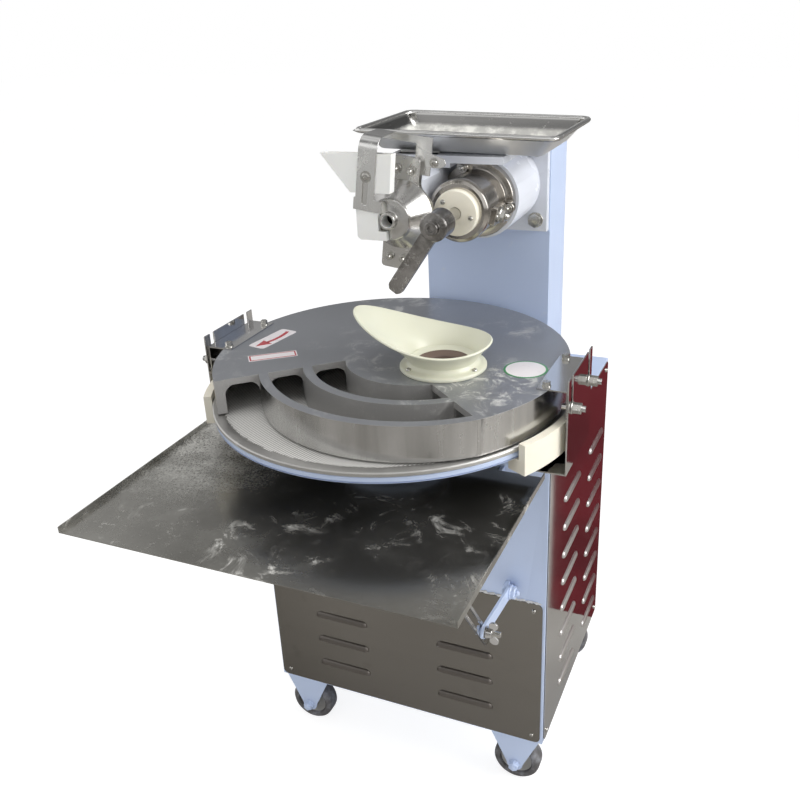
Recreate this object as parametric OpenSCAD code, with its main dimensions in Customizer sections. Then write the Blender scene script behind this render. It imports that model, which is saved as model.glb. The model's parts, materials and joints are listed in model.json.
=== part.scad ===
// Dough divider rounder on casters: a hopper and a dough pump with a rotary knife on a column
// drop pieces into a funnel, a spiral cover over a turntable rounds them, and a tray catches them.
// Machine frame: X across the front, Y from the cabinet's front to its back, Z up from the floor.

/* [Cabinet] */
// Width of the cabinet frame
cab_w = 464; // [440:1:500]
// Depth of the cabinet frame
cab_d = 365; // [350:1:400]
// Height of the frame from its underside to its top
cab_h = 509; // [480:1:540]
// Height of the cabinet's underside above the floor
cab_lift = 95; // [90:1:105]
// Height of the stainless front panel
front_panel_h = 262; // [240:1:290]
// Thickness of the frame's sheet steel
frame_t = 3; // [2:0.5:4]
// Thickness of the stainless panels
panel_t = 1.5; // [1:0.25:2.5]
// Length of one louvre
louvre_l = 90; // [70:1:100]
// Distance between two rows of louvres
louvre_pitch = 49; // [40:1:52]

/* [Casters] */
// Diameter of a caster wheel
wheel_d = 75; // [70:1:80]
// Width of a caster wheel
wheel_w = 30; // [24:1:34]
// Diameter of the caster axles
axle_d = 10; // [8:1:12]
// Distance of the caster axles from the cabinet's middle plane
caster_x = 187; // [170:1:195]

/* [Rounding disc] */
// Diameter of the turntable
turntable_d = 502; // [490:1:510]
// Height of the turntable's top above the floor
turntable_z = 667; // [660:1:675]
// Distance of the disc's axis behind the cabinet's front
disc_y = 16; // [10:1:20]
// Diameter of the spiral cover
cover_d = 490; // [480:1:490]
// Height of the spiral cover
cover_h = 48; // [44:1:52]
// Thickness of the cover's top
cover_top_t = 9; // [6:0.5:12]
// Thickness of the spiral walls
spiral_t = 13; // [10:0.5:16]
// Distance between two turns of the spiral
spiral_pitch = 60; // [56:1:62]
// Gap between the cover and the turntable
cover_gap = 2; // [1:0.25:3]

/* [Funnel] */
// Diameter of the funnel's flange
funnel_flange_d = 116; // [110:1:120]
// Diameter of the funnel's throat
funnel_throat_d = 44; // [40:1:46]
// Distance of the funnel's axis from the disc's axis
funnel_r = 89; // [88:0.5:90]
// Height of the funnel's lip at its low side above the cover
funnel_lip_z = 34; // [30:1:38]
// Reach of the funnel's scoop to the left of its axis
funnel_scoop = 122; // [110:1:126]

/* [Column and head] */
// Width of the column
column_w = 200; // [190:1:210]
// Depth of the column
column_d = 90; // [80:1:95]
// Height of the column's top above the floor
column_top_z = 962; // [958:1:966]
// Sideways offset of the column from the cabinet's middle plane
column_x = 52; // [40:1:60]
// Height of the two head axes above the floor
head_z = 906; // [902:1:908]
// Place of the knife axis across the machine
knife_x = 82; // [80:1:84]
// Distance between the knife axis and the outlet axis
head_pitch = 70; // [68:1:72]
// Radius that the knife sweeps
knife_reach = 109; // [100:1:115]
// Angle of the knife at rest, to the left of straight down
knife_angle = 34.6; // [0:0.2:60]
// Diameter of the knife shaft
shaft_d = 16; // [14:1:18]
// Diameter of the polished drum on the knife axis
drum_d = 84; // [78:1:88]
// Diameter of the drum's ring flange
ring_d = 105; // [100:1:110]
// Diameter of the outlet nozzle
nozzle_d = 54; // [48:1:56]

/* [Hopper] */
// Width of the hopper pan at its rim
hopper_w = 276; // [260:1:290]
// Depth of the hopper pan at its rim, from front to back
hopper_d = 182; // [170:1:186]
// Height of the hopper pan
hopper_h = 26; // [22:1:30]
// How far the pan leans down to the right
hopper_tilt = 1.4; // [0:0.1:1.6]

/* [Tray] */
// Width of the catch tray
tray_w = 532; // [500:1:540]
// Depth of the catch tray
tray_d = 330; // [300:1:340]
// Height of the tray's floor above the floor of the room
tray_z = 578; // [570:1:582]
// Height of the tray's side lips
tray_lip = 9; // [6:0.5:12]
// Thickness of the tray's sheet
tray_t = 1.5; // [1:0.25:2]

/* [Hidden] */

// Fineness of round shapes
$fn = 64;
hull_fn = 32;
disc_fn = 128;
// Overrun of every cut past the face that it opens
over = 1;
// Running clearance of a shaft in its bore, on the radius
run_clear = 0.05;
// Gap between pieces that pass or seat close to each other
slip = 0.3;
// Round fasteners: radii of an M4, an M6, an M8 and an M12 shank
m4_r = 2;
m6_r = 3;
m8_r = 4;
m12_r = 6;
// Heads: width across a head over its shank, and its height over its shank
head_share = 1.75;
head_h_share = 1.1;
nut_h_share = 1.6;
washer_share = 2.1;
washer_t = 1.5;

// Cabinet
cab_top = cab_lift + cab_h;
cab_bottom = cab_lift + frame_t;
post_w = 30;
upper_overlap = 14;
panel_margin = 4;
panel_corner = 9;
panel_screw_inset = 13;
side_top_gap = 2;
louvre_h = 9;
louvre_depth = 5;
louvre_wall = 1;
louvre_rows = 3;
side_louvre_rows = 8;
front_louvre_x = 106;
front_louvre_up = 46;
front_louvre_z = cab_bottom + front_louvre_up;
side_louvre_y = [135, 292];
side_louvre_up = 42;
side_louvre_z = cab_bottom + side_louvre_up;
side_inset = 5;
gland_x = -150;
gland_up = 70;
gland_z = cab_bottom + gland_up;
gland_bore_r = 5.5;
gland_r = 11;
gland_l = 22;
gland_nut_r = 15;
gland_nut_l = 6;
gland_hole_r = 8;

// Casters
wheel_r = wheel_d / 2;
axle_r = axle_d / 2;
fork_t = 3;
fork_w = 76;
fork_side = 4;
fork_tip_r = 13;
fork_front_y = 2;
fork_span = wheel_w + 2 * fork_side;
axle_head_r = 8;
axle_head_h = 5;
tyre_t = 12;
rim_inset = 4;
hub_r = 11;
caster_rear_y = cab_d - fork_front_y - fork_span - 2 * fork_t;

// Turntable and its bearing
turntable_r = turntable_d / 2;
turntable_plate_t = 6;
turntable_base_t = 9;
base_step = 2;
base_under = turntable_z - turntable_plate_t - turntable_base_t;
deck_t = 8;
deck_r = 86;
deck_back = 120;
deck_z = cab_top;
post_flange_r = 48;
post_flange_t = 8;
post_r = 20;
post_top_gap = 4;
hub_outer_r = 45;
hub_floor_t = 3;
post_flange_top = deck_z + deck_t + post_flange_t;
pulley_flange = 3;
pulley_lip = 6;
belt_h = 12;
belt_t = 5;
big_seat_r = 70;
small_seat_r = 30;
pulley_h = belt_h + 2 * pulley_flange + 2 * slip;
pulley_drop = 6;
pulley_z = base_under - pulley_drop - pulley_h;
gearbox_y = 190;
gearbox_w = 100;
gearbox_d = 100;
gearbox_h = 110;
gearbox_shaft_r = 10;
gearbox_shaft_drop = 70;
shaft_hole_r = 14;
motor_r = 55;
motor_l = 150;
motor_drop = 55;
fan_r = 50;
fan_l = 26;
terminal_w = 60;
terminal_h = 24;

// Spiral cover, made of rings about the disc's axis and, in the open window, about a shifted axis
cover_r = cover_d / 2;
cover_z = turntable_z + cover_gap;
cover_top = cover_z + cover_h;
window_half = 49;
window_mid = 270;
window_share = 1.5;
window_reach = window_share * cover_r;
spiral_shift = spiral_pitch / (2 * sin(window_half));
spiral_turns = 3;
wall_lap = 0.6;
function turn_r(k) = cover_r - k * spiral_pitch;
function arc_r(k) = sqrt(pow(turn_r(k + 1), 2) + 2 * turn_r(k + 1) * spiral_shift * sin(window_half)
    + pow(spiral_shift, 2));

// Funnel
funnel_angle = -14.3;
funnel_x = funnel_r * cos(funnel_angle);
funnel_y = disc_y + funnel_r * sin(funnel_angle);
funnel_flange_t = 6;
funnel_wall = 3.5;
funnel_neck_h = 12;
funnel_neck_r = 46;
funnel_side_r = 72;
funnel_side_shift = 6;
funnel_tip_r = 25;
funnel_lip_t = 6;
funnel_lip_lean = 11.7;
funnel_lip_up = 49;
funnel_rim_r = 270;
funnel_rim_shift = -25;
scoop_turn = 186.5;
funnel_screw_r = 51.5;
funnel_screw_angles = [-130, -17, 104];

// Hangers of the cover and the slotted plates that carry them
bracket_t = 2;
bracket_gap = 13;
cover_inset = 6;
bracket_x = max(turntable_r, cover_r + cover_inset) + bracket_gap;
bracket_l_y = 126;
bracket_h = 131;
bracket_foot = 60;
slot_w = 9;
slot_y = 45;
slot_depth = 42;
stud_r = m8_r;
stud_out = 18;
stud_in = 8;
hanger_t = 2;
hanger_l_y = 116;
hanger_in = 40;
hanger_drop = 36;
hanger_screw_in = 30;
hanger_screw_x = bracket_x - hanger_screw_in;
hanger_screw_y = 48;
stud_z = cab_top + bracket_h - slot_depth;
hanger_x = bracket_x - slip - hanger_t;

// Nylon guide blocks at the turntable's edge
block_gap = 2;
block_wall = 11;
block_under = 20;
block_up = 6;
block_lip = 18;
block_start = 2;
block_sweep = 29;
block_pad_w = 16;

// Column and head
column_y = cab_d - column_d;
column_t = 3;
column_left = column_x - column_w / 2;
outlet_x = knife_x - head_pitch;
shaft_r = shaft_d / 2;
flange_t = 12;
flange_half_w = 68;
flange_h = 134;
flange_left = 60;
flange_bolt_inset = 17;
flange_bolt_top = 13;
housing_r = 57;
housing_y = 158;
barrel_r = 50;
barrel_bore_r = 23;
barrel_back = 20;
feed_left = 45;
feed_d = 94;
feed_wall = 8;
feed_thin = 5;
feed_y = 115;
feed_up = 8;
feed_top_z = column_top_z + feed_up;
flange_z = feed_top_z - flange_h;
feed_wide = 43;
feed_wide_h = 16;
top_plate_t = 10;
top_plate_left = 46;
top_plate_w = 164;
top_plate_d = 138;
drum_r = drum_d / 2;
flat_x = knife_x - drum_r - slip;
drum_y = 70;
ring_r = ring_d / 2;
ring_t = 12;
ring_bolt_r = 48.5;
ring_bolt_angles = [111, 231, -9];
ear_r = 8.4;
ear_l = 10;
cap_r = 30.5;
cap_out = 10;
cap_in = 5;
cap_screw_r = 22;
cap_screw_angles = [140, -14];
port_y = 112;
port_r = 13;
port_out = 8;
port_angle = 14;
hub_knife_r = 18.5;
hub_knife_front = -18;
hub_knife_l = 32;
blade_t = 8;
blade_w = 21;
blade_y = -12;
blade_tip_r = 10.5;
socket_share = 0.5;
socket_depth_share = 0.6;
knife_screw_r = 9;
knife_screw_h = 8;
gear_in = 5;
gear_y = column_y + column_t + gear_in;
gear_t = 12;
gear_teeth = 24;
gear_depth = 5;
gear_backlash = 1.2;
tooth_base_share = 0.34;
tooth_tip_share = 0.17;
half_step_share = 0.5;
sprocket_in = 14;
sprocket_y = gear_y + gear_t + sprocket_in;
sprocket_t = 10;
sprocket_r = 26;
sprocket_lip = 4;
sprocket_lip_t = 2;
chain_t = 8;
head_motor_z = 420;
head_motor_r = 50;
head_motor_l = 150;
head_motor_nose = 14;
stand_t = 4;
stand_w = 84;
stand_l = 130;
feed_hub_r = 11;
vane_t = 4;
vane_count = 4;
rotor_gap = 3;

// Outlet bell
bell_flange_t = 10;
bell_lean = 7.7;
bell_end_w = 44;
bell_end_z = 75;
bell_corner = 6;
bell_base_r = 46;
bell_y = 42;
barrel_y = bell_y + bell_flange_t;
bell_cone_l = 30;
nozzle_r = nozzle_d / 2;
nozzle_l = 4;
spout_r = 11;
spout_bore_r = 8;
spout_l = 14;
bell_wall = 6;
bell_sink = 4;
bell_bolt_z = 59;
bell_bolt_x = 10;

// Hopper pan
hopper_x = 62;
hopper_y = 196;
hopper_t = 1.5;
hopper_slope = 24;
hopper_rim_r = 3;
hopper_up = 3.2;
hopper_floor_z = feed_top_z + hopper_up;
spigot_l = 26;

// Guard strap, flour box and flour cup in front of the outlet
strap_t = 1.5;
strap_w = 26;
strap_x = -46.6;
strap_low = 8;
strap_high = 84;
strap_wide_x = -49;
strap_wide_w = 40;
strap_wide_h = 16;
strap_bend_r = 18;
strap_slot_w = 7;
strap_slot_low = 18;
strap_slot_high = 52;
bracket_plate_t = 2.5;
bracket_plate_right = 32;
bracket_strip_h = 10;
bracket_leg_w = 22;
bracket_leg_low = 53;
strap_back = barrel_y + bracket_plate_t;
flour_d = 14;
flour_wall = 2;
flour_up = 84;
flour_under = 35;
flour_top_z = head_z + flour_up;
flour_low_z = head_z + flour_under;
flour_left = 91;
flour_left_low = 51;
flour_right = 10;
flour_right_low = 5;
cup_left = 44;
cup_mid = 13;
cup_right = 2;
cup_d = 7;
cup_up = 20;
cup_down = 26;
cup_notch = 14;
cup_top_z = head_z + cup_up;
cup_low_z = head_z - cup_down;
cup_notch_z = head_z - cup_notch;
cup_wall = 1;
cup_corner = 6;

// Tray and its tilting support
tray_inset = 2;
tray_right = cab_w / 2 - tray_inset;
tray_left = tray_right - tray_w;
tray_back_y = -14;
tray_front_y = tray_back_y - tray_d;
hinge_y = -8;
hinge_drop = 6;
hinge_z = tray_z - hinge_drop;
hinge_r = 6;
hinge_pin_r = 3;
hinge_l = 40;
hinge_ear_t = 5;
hinge_x = 150;
hinge_web_t = 3;
arm_y = -14;
arm_z = 382;
clamp_y = -124;
clamp_z = 394;
link_y = -250;
link_drop = 12;
link_z = tray_z - link_drop;
link_x = 176;
link_t = 3;
link_w = 19;
link_past = 36;
link_slot_w = 10;
link_slot_start = 120;
link_slot_end = 12;
arm_t = 4;
arm_w = 20;
arm_x = link_x + link_t + slip;
arm_boss_r = 9;
lug_t = 3;
lug_w = 18;
wing_x = arm_x + arm_t + washer_t;
wing_hub_r = 7;
wing_hub_l = 9;
wing_r = 6;
wing_t = 3;
wing_out = 13;
clamp_out = 26;
link_len = sqrt(pow(link_y - clamp_y, 2) + pow(link_z - clamp_z, 2));
link_angle = atan2(link_z - clamp_z, link_y - clamp_y);
arm_len = sqrt(pow(arm_y - clamp_y, 2) + pow(arm_z - clamp_z, 2));
arm_angle = atan2(clamp_z - arm_z, clamp_y - arm_y);

// The part's origin lies on the floor under the middle of its outline
reach_right = bracket_x + bracket_t + stud_out;
reach_left = min(tray_left, -reach_right);
reach_front = tray_front_y;
reach_back = cab_d + panel_t + gland_l;
origin_shift = [-(reach_left + reach_right) / 2, -(reach_front + reach_back) / 2, 0];

paint = [0.70, 0.74, 0.86];
steel = [0.62, 0.61, 0.58];
bright = [0.78, 0.77, 0.74];
cast_alu = [0.50, 0.50, 0.52];
dark_steel = [0.28, 0.26, 0.25];
cream = [0.90, 0.87, 0.76];
ivory = [0.88, 0.90, 0.80];
white_paint = [0.92, 0.93, 0.96];
rubber = [0.33, 0.32, 0.31];

// Turns a shape's Z axis to +Y, or to +X
module along_y() { rotate([-90, 0, 0]) children(); }
module along_x() { rotate([0, 90, 0]) children(); }
// Puts a copy of a shape on both sides of the middle plane
module both_sides() { for (s = [1, -1]) scale_x(s) children(); }
module scale_x(s) { if (s > 0) children(); else mirror([1, 0, 0]) children(); }
// Places the machine frame in the part's frame
module place() { translate(origin_shift) children(); }
// A round rod from its base along Z, and a hexagon prism by its radius across corners
module hexagon(r, h) { cylinder(r = r, h = h, $fn = 6); }
// A sheet in the X and Z plane with rounded corners, its back at Y zero
module round_sheet(w, h, t, r) {
    translate([0, -t, 0]) along_y() linear_extrude(t) translate([-w / 2, -h]) union() {
        translate([r, 0]) square([w - 2 * r, h]);
        translate([0, r]) square([w, h - 2 * r]);
        for (x = [r, w - r], z = [r, h - r]) translate([x, z]) circle(r = r);
    }
}
// One pressed louvre on a sheet whose outer face is at Y zero, opening downwards
module louvre_hood() {
    rotate([0, 90, 0]) translate([0, 0, -louvre_l / 2]) linear_extrude(louvre_l)
        polygon([[0, 0], [0, -louvre_depth], [-louvre_h, 0]]);
}
module louvre_hollow() {
    rotate([0, 90, 0]) translate([0, 0, louvre_wall - louvre_l / 2])
        linear_extrude(louvre_l - 2 * louvre_wall)
        polygon([[over, panel_t + over], [over, louvre_wall - louvre_depth], [0, louvre_wall - louvre_depth],
            [louvre_wall - louvre_h, 0], [louvre_wall - louvre_h, panel_t + over]]);
}

// Cabinet

// Welded frame: floor, top, corner angles and the painted upper front
module frame() color(paint) difference() {
    union() {
        translate([-cab_w / 2, 0, cab_lift]) cube([cab_w, cab_d, frame_t]);
        translate([-cab_w / 2, 0, cab_top - frame_t]) cube([cab_w, cab_d, frame_t]);
        both_sides() for (y = [0, cab_d - frame_t]) {
            translate([cab_w / 2 - post_w, y, cab_lift]) cube([post_w, frame_t, cab_h]);
            translate([cab_w / 2 - frame_t, y == 0 ? 0 : cab_d - post_w, cab_lift])
                cube([frame_t, post_w, cab_h]);
        }
        translate([-cab_w / 2, 0, cab_bottom + front_panel_h - upper_overlap])
            cube([cab_w, frame_t, cab_h - frame_t - front_panel_h + upper_overlap]);
    }
    translate([0, gearbox_y, cab_top - frame_t - over]) cylinder(r = shaft_hole_r, h = frame_t + 2 * over);
    chain_slot(cab_top - frame_t - over, frame_t + 2 * over);
}
// Room for the chain where it passes a sheet
module chain_slot(z, h) {
    translate([knife_x - sprocket_r - 2 * chain_t, sprocket_y - chain_t, z])
        cube([2 * sprocket_r + 4 * chain_t, sprocket_t + 2 * chain_t, h]);
}
module front_panel() color(steel) difference() {
    union() {
        translate([0, 0, cab_bottom])
            round_sheet(cab_w - 2 * panel_margin, front_panel_h, panel_t, panel_corner);
        front_louvres() louvre_hood();
    }
    front_louvres() louvre_hollow();
}
module front_louvres() {
    both_sides() for (k = [0 : louvre_rows - 1])
        translate([front_louvre_x, -panel_t, front_louvre_z + k * louvre_pitch]) children();
}
side_h = cab_h - frame_t - side_top_gap;
side_w = cab_d - 2 * side_inset;
// Right panel, and the left one as its mirror image
module side_panel() difference() {
    union() {
        translate([cab_w / 2, cab_d / 2, cab_bottom]) rotate([0, 0, 90])
            round_sheet(side_w, side_h, panel_t, panel_corner);
        side_louvres() louvre_hood();
    }
    side_louvres() louvre_hollow();
}
module side_louvres() {
    for (y = side_louvre_y, k = [0 : side_louvre_rows - 1])
        translate([cab_w / 2 + panel_t, y, side_louvre_z + k * louvre_pitch]) rotate([0, 0, 90]) children();
}
module side_panel_r() color(bright) side_panel();
module side_panel_l() color(bright) mirror([1, 0, 0]) side_panel();
module back_panel() color(steel) difference() {
    translate([0, cab_d, cab_bottom]) rotate([0, 0, 180])
        round_sheet(cab_w - 2 * panel_margin, side_h, panel_t, panel_corner);
    translate([gland_x, cab_d - over, gland_z]) along_y() cylinder(r = gland_hole_r, h = panel_t + 2 * over);
}
// Domed heads at the corners of the front, side and back panels
module panel_screws() color(steel) {
    both_sides() for (z = [panel_screw_inset, front_panel_h - panel_screw_inset])
        translate([cab_w / 2 - panel_margin - panel_screw_inset, -panel_t, cab_bottom + z])
            rotate([90, 0, 0]) dome_head(m4_r);
    both_sides() for (y = [side_inset + panel_screw_inset, cab_d - side_inset - panel_screw_inset],
            z = [panel_screw_inset, side_h - panel_screw_inset])
        translate([cab_w / 2 + panel_t, y, cab_bottom + z]) along_x() dome_head(m4_r);
    both_sides() for (z = [panel_screw_inset, side_h - panel_screw_inset])
        translate([cab_w / 2 - panel_margin - panel_screw_inset, cab_d + panel_t, cab_bottom + z])
            along_y() dome_head(m4_r);
}
// A low round head standing on Z zero
module dome_head(r) { cylinder(r1 = r * head_share, r2 = r * head_h_share, h = r * head_h_share); }
module cable_gland() color(dark_steel) translate([gland_x, cab_d + panel_t, gland_z]) along_y() difference() {
    union() {
        hexagon(gland_nut_r, gland_nut_l);
        cylinder(r = gland_r, h = gland_l);
    }
    translate([0, 0, -over]) cylinder(r = gland_bore_r, h = gland_l + 2 * over);
}

// Casters

// One fork with its axle: a top plate and two tapering side plates
module caster_fork(x, y) color(paint) translate([x, y, 0]) {
    translate([-fork_w / 2, 0, cab_lift - fork_t]) cube([fork_w, fork_span + 2 * fork_t, fork_t]);
    for (s = [0, fork_span + fork_t]) translate([0, s, 0]) along_y() linear_extrude(fork_t) {
        polygon([[-fork_w / 2, fork_t - cab_lift], [fork_w / 2, fork_t - cab_lift],
            [fork_tip_r, -wheel_r], [-fork_tip_r, -wheel_r]]);
        translate([0, -wheel_r]) circle(r = fork_tip_r);
    }
    translate([0, -axle_head_h, wheel_r]) along_y() hexagon(axle_head_r, axle_head_h);
    translate([0, 0, wheel_r]) along_y() cylinder(r = axle_r, h = fork_span + 2 * fork_t + axle_head_h);
    translate([0, fork_span + 2 * fork_t, wheel_r]) along_y() hexagon(axle_head_r, axle_head_h);
}
// One wheel: a tyre on a dished rim with a hub
module caster_wheel(x, y) color(rubber) translate([x, y + fork_t + fork_side, wheel_r]) along_y()
    rotate_extrude()
    polygon([[axle_r + run_clear, -fork_side + slip], [hub_r, -fork_side + slip], [hub_r, rim_inset],
        [wheel_r - tyre_t, rim_inset], [wheel_r - tyre_t, 0], [wheel_r - rim_inset, 0], [wheel_r, rim_inset],
        [wheel_r, wheel_w - rim_inset], [wheel_r - rim_inset, wheel_w], [wheel_r - tyre_t, wheel_w],
        [wheel_r - tyre_t, wheel_w - rim_inset], [hub_r, wheel_w - rim_inset],
        [hub_r, wheel_w + fork_side - slip], [axle_r + run_clear, wheel_w + fork_side - slip]]);
caster_front_y = fork_front_y;

// Turntable drive

module deck_plate() color(paint) translate([0, disc_y, deck_z]) {
    cylinder(r = deck_r, h = deck_t);
    translate([-deck_r, 0, 0]) cube([2 * deck_r, deck_back, deck_t]);
}
module pivot_post() color(steel) translate([0, disc_y, deck_z + deck_t]) {
    cylinder(r = post_flange_r, h = post_flange_t);
    cylinder(r = post_r, h = base_under - deck_z - deck_t - post_top_gap);
}
module turntable_plate() color(cast_alu) translate([0, disc_y, turntable_z - turntable_plate_t])
    cylinder(r = turntable_r, h = turntable_plate_t, $fn = disc_fn);
module turntable_base() color(paint) translate([0, disc_y, 0]) difference() {
    union() {
        translate([0, 0, base_under])
            cylinder(r = turntable_r - base_step, h = turntable_base_t, $fn = disc_fn);
        translate([0, 0, post_flange_top + slip])
            cylinder(r = hub_outer_r, h = base_under - post_flange_top - slip);
    }
    translate([0, 0, post_flange_top - over])
        cylinder(r = post_r + run_clear, h = base_under - post_flange_top - hub_floor_t + over);
}
module pulley(seat_r, bore_r) difference() {
    union() {
        cylinder(r = seat_r, h = pulley_h);
        for (z = [0, pulley_h - pulley_flange]) translate([0, 0, z])
            cylinder(r = seat_r + pulley_lip, h = pulley_flange);
    }
    translate([0, 0, -over]) cylinder(r = bore_r, h = pulley_h + 2 * over);
}
module turntable_pulley() color(steel) translate([0, disc_y, pulley_z])
    pulley(big_seat_r, hub_outer_r + run_clear);
module motor_pulley() color(steel) translate([0, gearbox_y, pulley_z])
    pulley(small_seat_r, gearbox_shaft_r + run_clear);
module gearbox_shaft() color(bright) translate([0, gearbox_y, cab_top - gearbox_shaft_drop])
    cylinder(r = gearbox_shaft_r, h = pulley_z + pulley_h - cab_top + gearbox_shaft_drop);
// The outline round two wheels, open belt: rad1 at the origin, rad2 at distance dist along Y
module loop_outline(rad1, rad2, dist) {
    lean = asin((rad1 - rad2) / dist);
    circle(r = rad1);
    translate([0, dist]) circle(r = rad2);
    polygon([[rad1 * cos(lean), rad1 * sin(lean)], [rad2 * cos(lean), dist + rad2 * sin(lean)],
        [-rad2 * cos(lean), dist + rad2 * sin(lean)], [-rad1 * cos(lean), rad1 * sin(lean)]]);
}
module loop_band(rad1, rad2, dist, t, h) linear_extrude(h) difference() {
    loop_outline(rad1 + slip + t, rad2 + slip + t, dist);
    loop_outline(rad1 + slip, rad2 + slip, dist);
}
module drive_belt() color(rubber) translate([0, disc_y, pulley_z + pulley_flange + slip])
    loop_band(big_seat_r, small_seat_r, gearbox_y - disc_y, belt_t, belt_h);
module gearbox() color(cast_alu) difference() {
    translate([-gearbox_w / 2, gearbox_y - gearbox_d / 2, cab_top - frame_t - gearbox_h])
        cube([gearbox_w, gearbox_d, gearbox_h]);
    translate([0, gearbox_y, cab_top - gearbox_shaft_drop - slip])
        cylinder(r = gearbox_shaft_r + run_clear, h = gearbox_h);
}
module rounder_motor() color(cast_alu)
    translate([-gearbox_w / 2, gearbox_y, cab_top - frame_t - motor_drop]) {
    rotate([0, -90, 0]) cylinder(r = motor_r, h = motor_l);
    translate([-motor_l, 0, 0]) rotate([0, -90, 0]) cylinder(r = fan_r, h = fan_l);
    translate([-(motor_l + terminal_w) / 2, -terminal_w / 2, -motor_r - terminal_h / 2])
        cube([terminal_w, terminal_w, terminal_h]);
}

// Spiral cover

// The open window of the cover as a wedge about the disc's axis
module window_wedge(half) {
    a = window_reach / cos(half);
    polygon([[0, 0], [a * cos(window_mid - half), a * sin(window_mid - half)],
        [a * cos(window_mid + half), a * sin(window_mid + half)]]);
}
module ring_2d(r) difference() {
    circle(r = r, $fn = disc_fn);
    circle(r = r - spiral_t, $fn = disc_fn);
}
module spiral_walls_2d() {
    difference() {
        union() for (k = [0 : spiral_turns]) ring_2d(turn_r(k));
        window_wedge(window_half - wall_lap);
    }
    intersection() {
        translate([spiral_shift, 0]) union() for (k = [0 : spiral_turns - 1]) ring_2d(arc_r(k));
        window_wedge(window_half + wall_lap);
    }
}
module cover_top_2d() difference() {
    circle(r = cover_r, $fn = disc_fn);
    difference() {
        window_wedge(window_half - wall_lap / 2);
        translate([spiral_shift, 0]) circle(r = arc_r(spiral_turns - 1) - over, $fn = disc_fn);
    }
}
module cover_disc() color(cast_alu) translate([0, disc_y, cover_z]) {
    linear_extrude(cover_h - cover_top_t) spiral_walls_2d();
    translate([0, 0, cover_h - cover_top_t]) linear_extrude(cover_top_t) difference() {
        union() {
            cover_top_2d();
            spiral_walls_2d();
        }
        translate([funnel_x, funnel_y - disc_y]) circle(r = funnel_throat_d / 2);
    }
}

// Funnel with a scoop lip that rises to the left, its rim cut in a long curve
module scoop_frame() translate([funnel_x, funnel_y, cover_top]) rotate([0, 0, scoop_turn]) children();
module lip_disc(r, along) translate([0, 0, funnel_lip_up]) rotate([0, -funnel_lip_lean, 0])
    translate([along, 0, 0]) cylinder(r = r, h = funnel_lip_t, $fn = hull_fn);
module funnel_form(inset, low) hull() {
    translate([0, 0, low]) cylinder(r = funnel_neck_r - inset, h = over, $fn = hull_fn);
    lip_disc(funnel_side_r - inset, funnel_side_shift);
    lip_disc(funnel_tip_r - inset, funnel_scoop - funnel_tip_r);
}
module funnel() color(ivory) scoop_frame() difference() {
    union() {
        cylinder(r = funnel_flange_d / 2, h = funnel_flange_t);
        cylinder(r = funnel_neck_r, h = funnel_neck_h, $fn = hull_fn);
        funnel_form(0, funnel_neck_h - over);
    }
    translate([0, 0, -over]) cylinder(r = funnel_throat_d / 2, h = 2 * funnel_neck_h);
    translate([0, 0, over]) funnel_form(funnel_wall, funnel_neck_h);
    translate([funnel_rim_shift, -funnel_scoop, funnel_lip_z + funnel_rim_r])
        along_y() cylinder(r = funnel_rim_r, h = 2 * funnel_scoop);
}
// Screws of the funnel's flange and of the two hangers
module cover_screws() color(bright) {
    translate([funnel_x, funnel_y, cover_top + funnel_flange_t]) for (a = funnel_screw_angles)
        translate([funnel_screw_r * cos(a), funnel_screw_r * sin(a), 0]) dome_head(m4_r);
    both_sides() for (s = [-1, 1])
        translate([hanger_screw_x, disc_y + s * hanger_screw_y, cover_top + hanger_t]) dome_head(m6_r);
}
// Right hanger: a plate on the cover, bent down at the side, with two studs
module hanger() {
    translate([hanger_x + hanger_t - hanger_in, disc_y - hanger_l_y / 2, cover_top])
        cube([hanger_in, hanger_l_y, hanger_t]);
    translate([hanger_x, disc_y - hanger_l_y / 2, cover_top - hanger_drop])
        cube([hanger_t, hanger_l_y, hanger_drop + hanger_t]);
    for (s = [-1, 1]) translate([hanger_x - stud_in, disc_y + s * slot_y, stud_z]) along_x()
        cylinder(r = stud_r, h = bracket_x + bracket_t + stud_out - hanger_x + stud_in);
}
module hanger_r() color(bright) hanger();
module hanger_l() color(bright) mirror([1, 0, 0]) hanger();
module hanger_nuts() color(bright) both_sides() for (s = [-1, 1])
    translate([bracket_x + bracket_t + slip, disc_y + s * slot_y, stud_z]) along_x() difference() {
        union() {
            cylinder(r = stud_r * washer_share, h = washer_t);
            translate([0, 0, washer_t]) hexagon(stud_r * head_share, stud_r * nut_h_share);
        }
        translate([0, 0, -over])
            cylinder(r = stud_r + run_clear, h = stud_r * nut_h_share + washer_t + 2 * over);
    }
// Right slotted plate with a foot on the cabinet
module bracket() difference() {
    union() {
        translate([bracket_x, disc_y - bracket_l_y / 2, cab_top]) cube([bracket_t, bracket_l_y, bracket_h]);
        translate([bracket_x + bracket_t - bracket_foot, disc_y - bracket_l_y / 2, cab_top])
            cube([bracket_foot, bracket_l_y, bracket_t]);
    }
    for (s = [-1, 1]) translate([bracket_x - over, disc_y + s * slot_y, stud_z]) {
        along_x() cylinder(r = slot_w / 2, h = bracket_t + 2 * over);
        translate([0, -slot_w / 2, 0]) cube([bracket_t + 2 * over, slot_w, slot_depth + over]);
    }
}
module bracket_r() color(bright) bracket();
module bracket_l() color(bright) mirror([1, 0, 0]) bracket();
block_in = turntable_r + block_gap;
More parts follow.
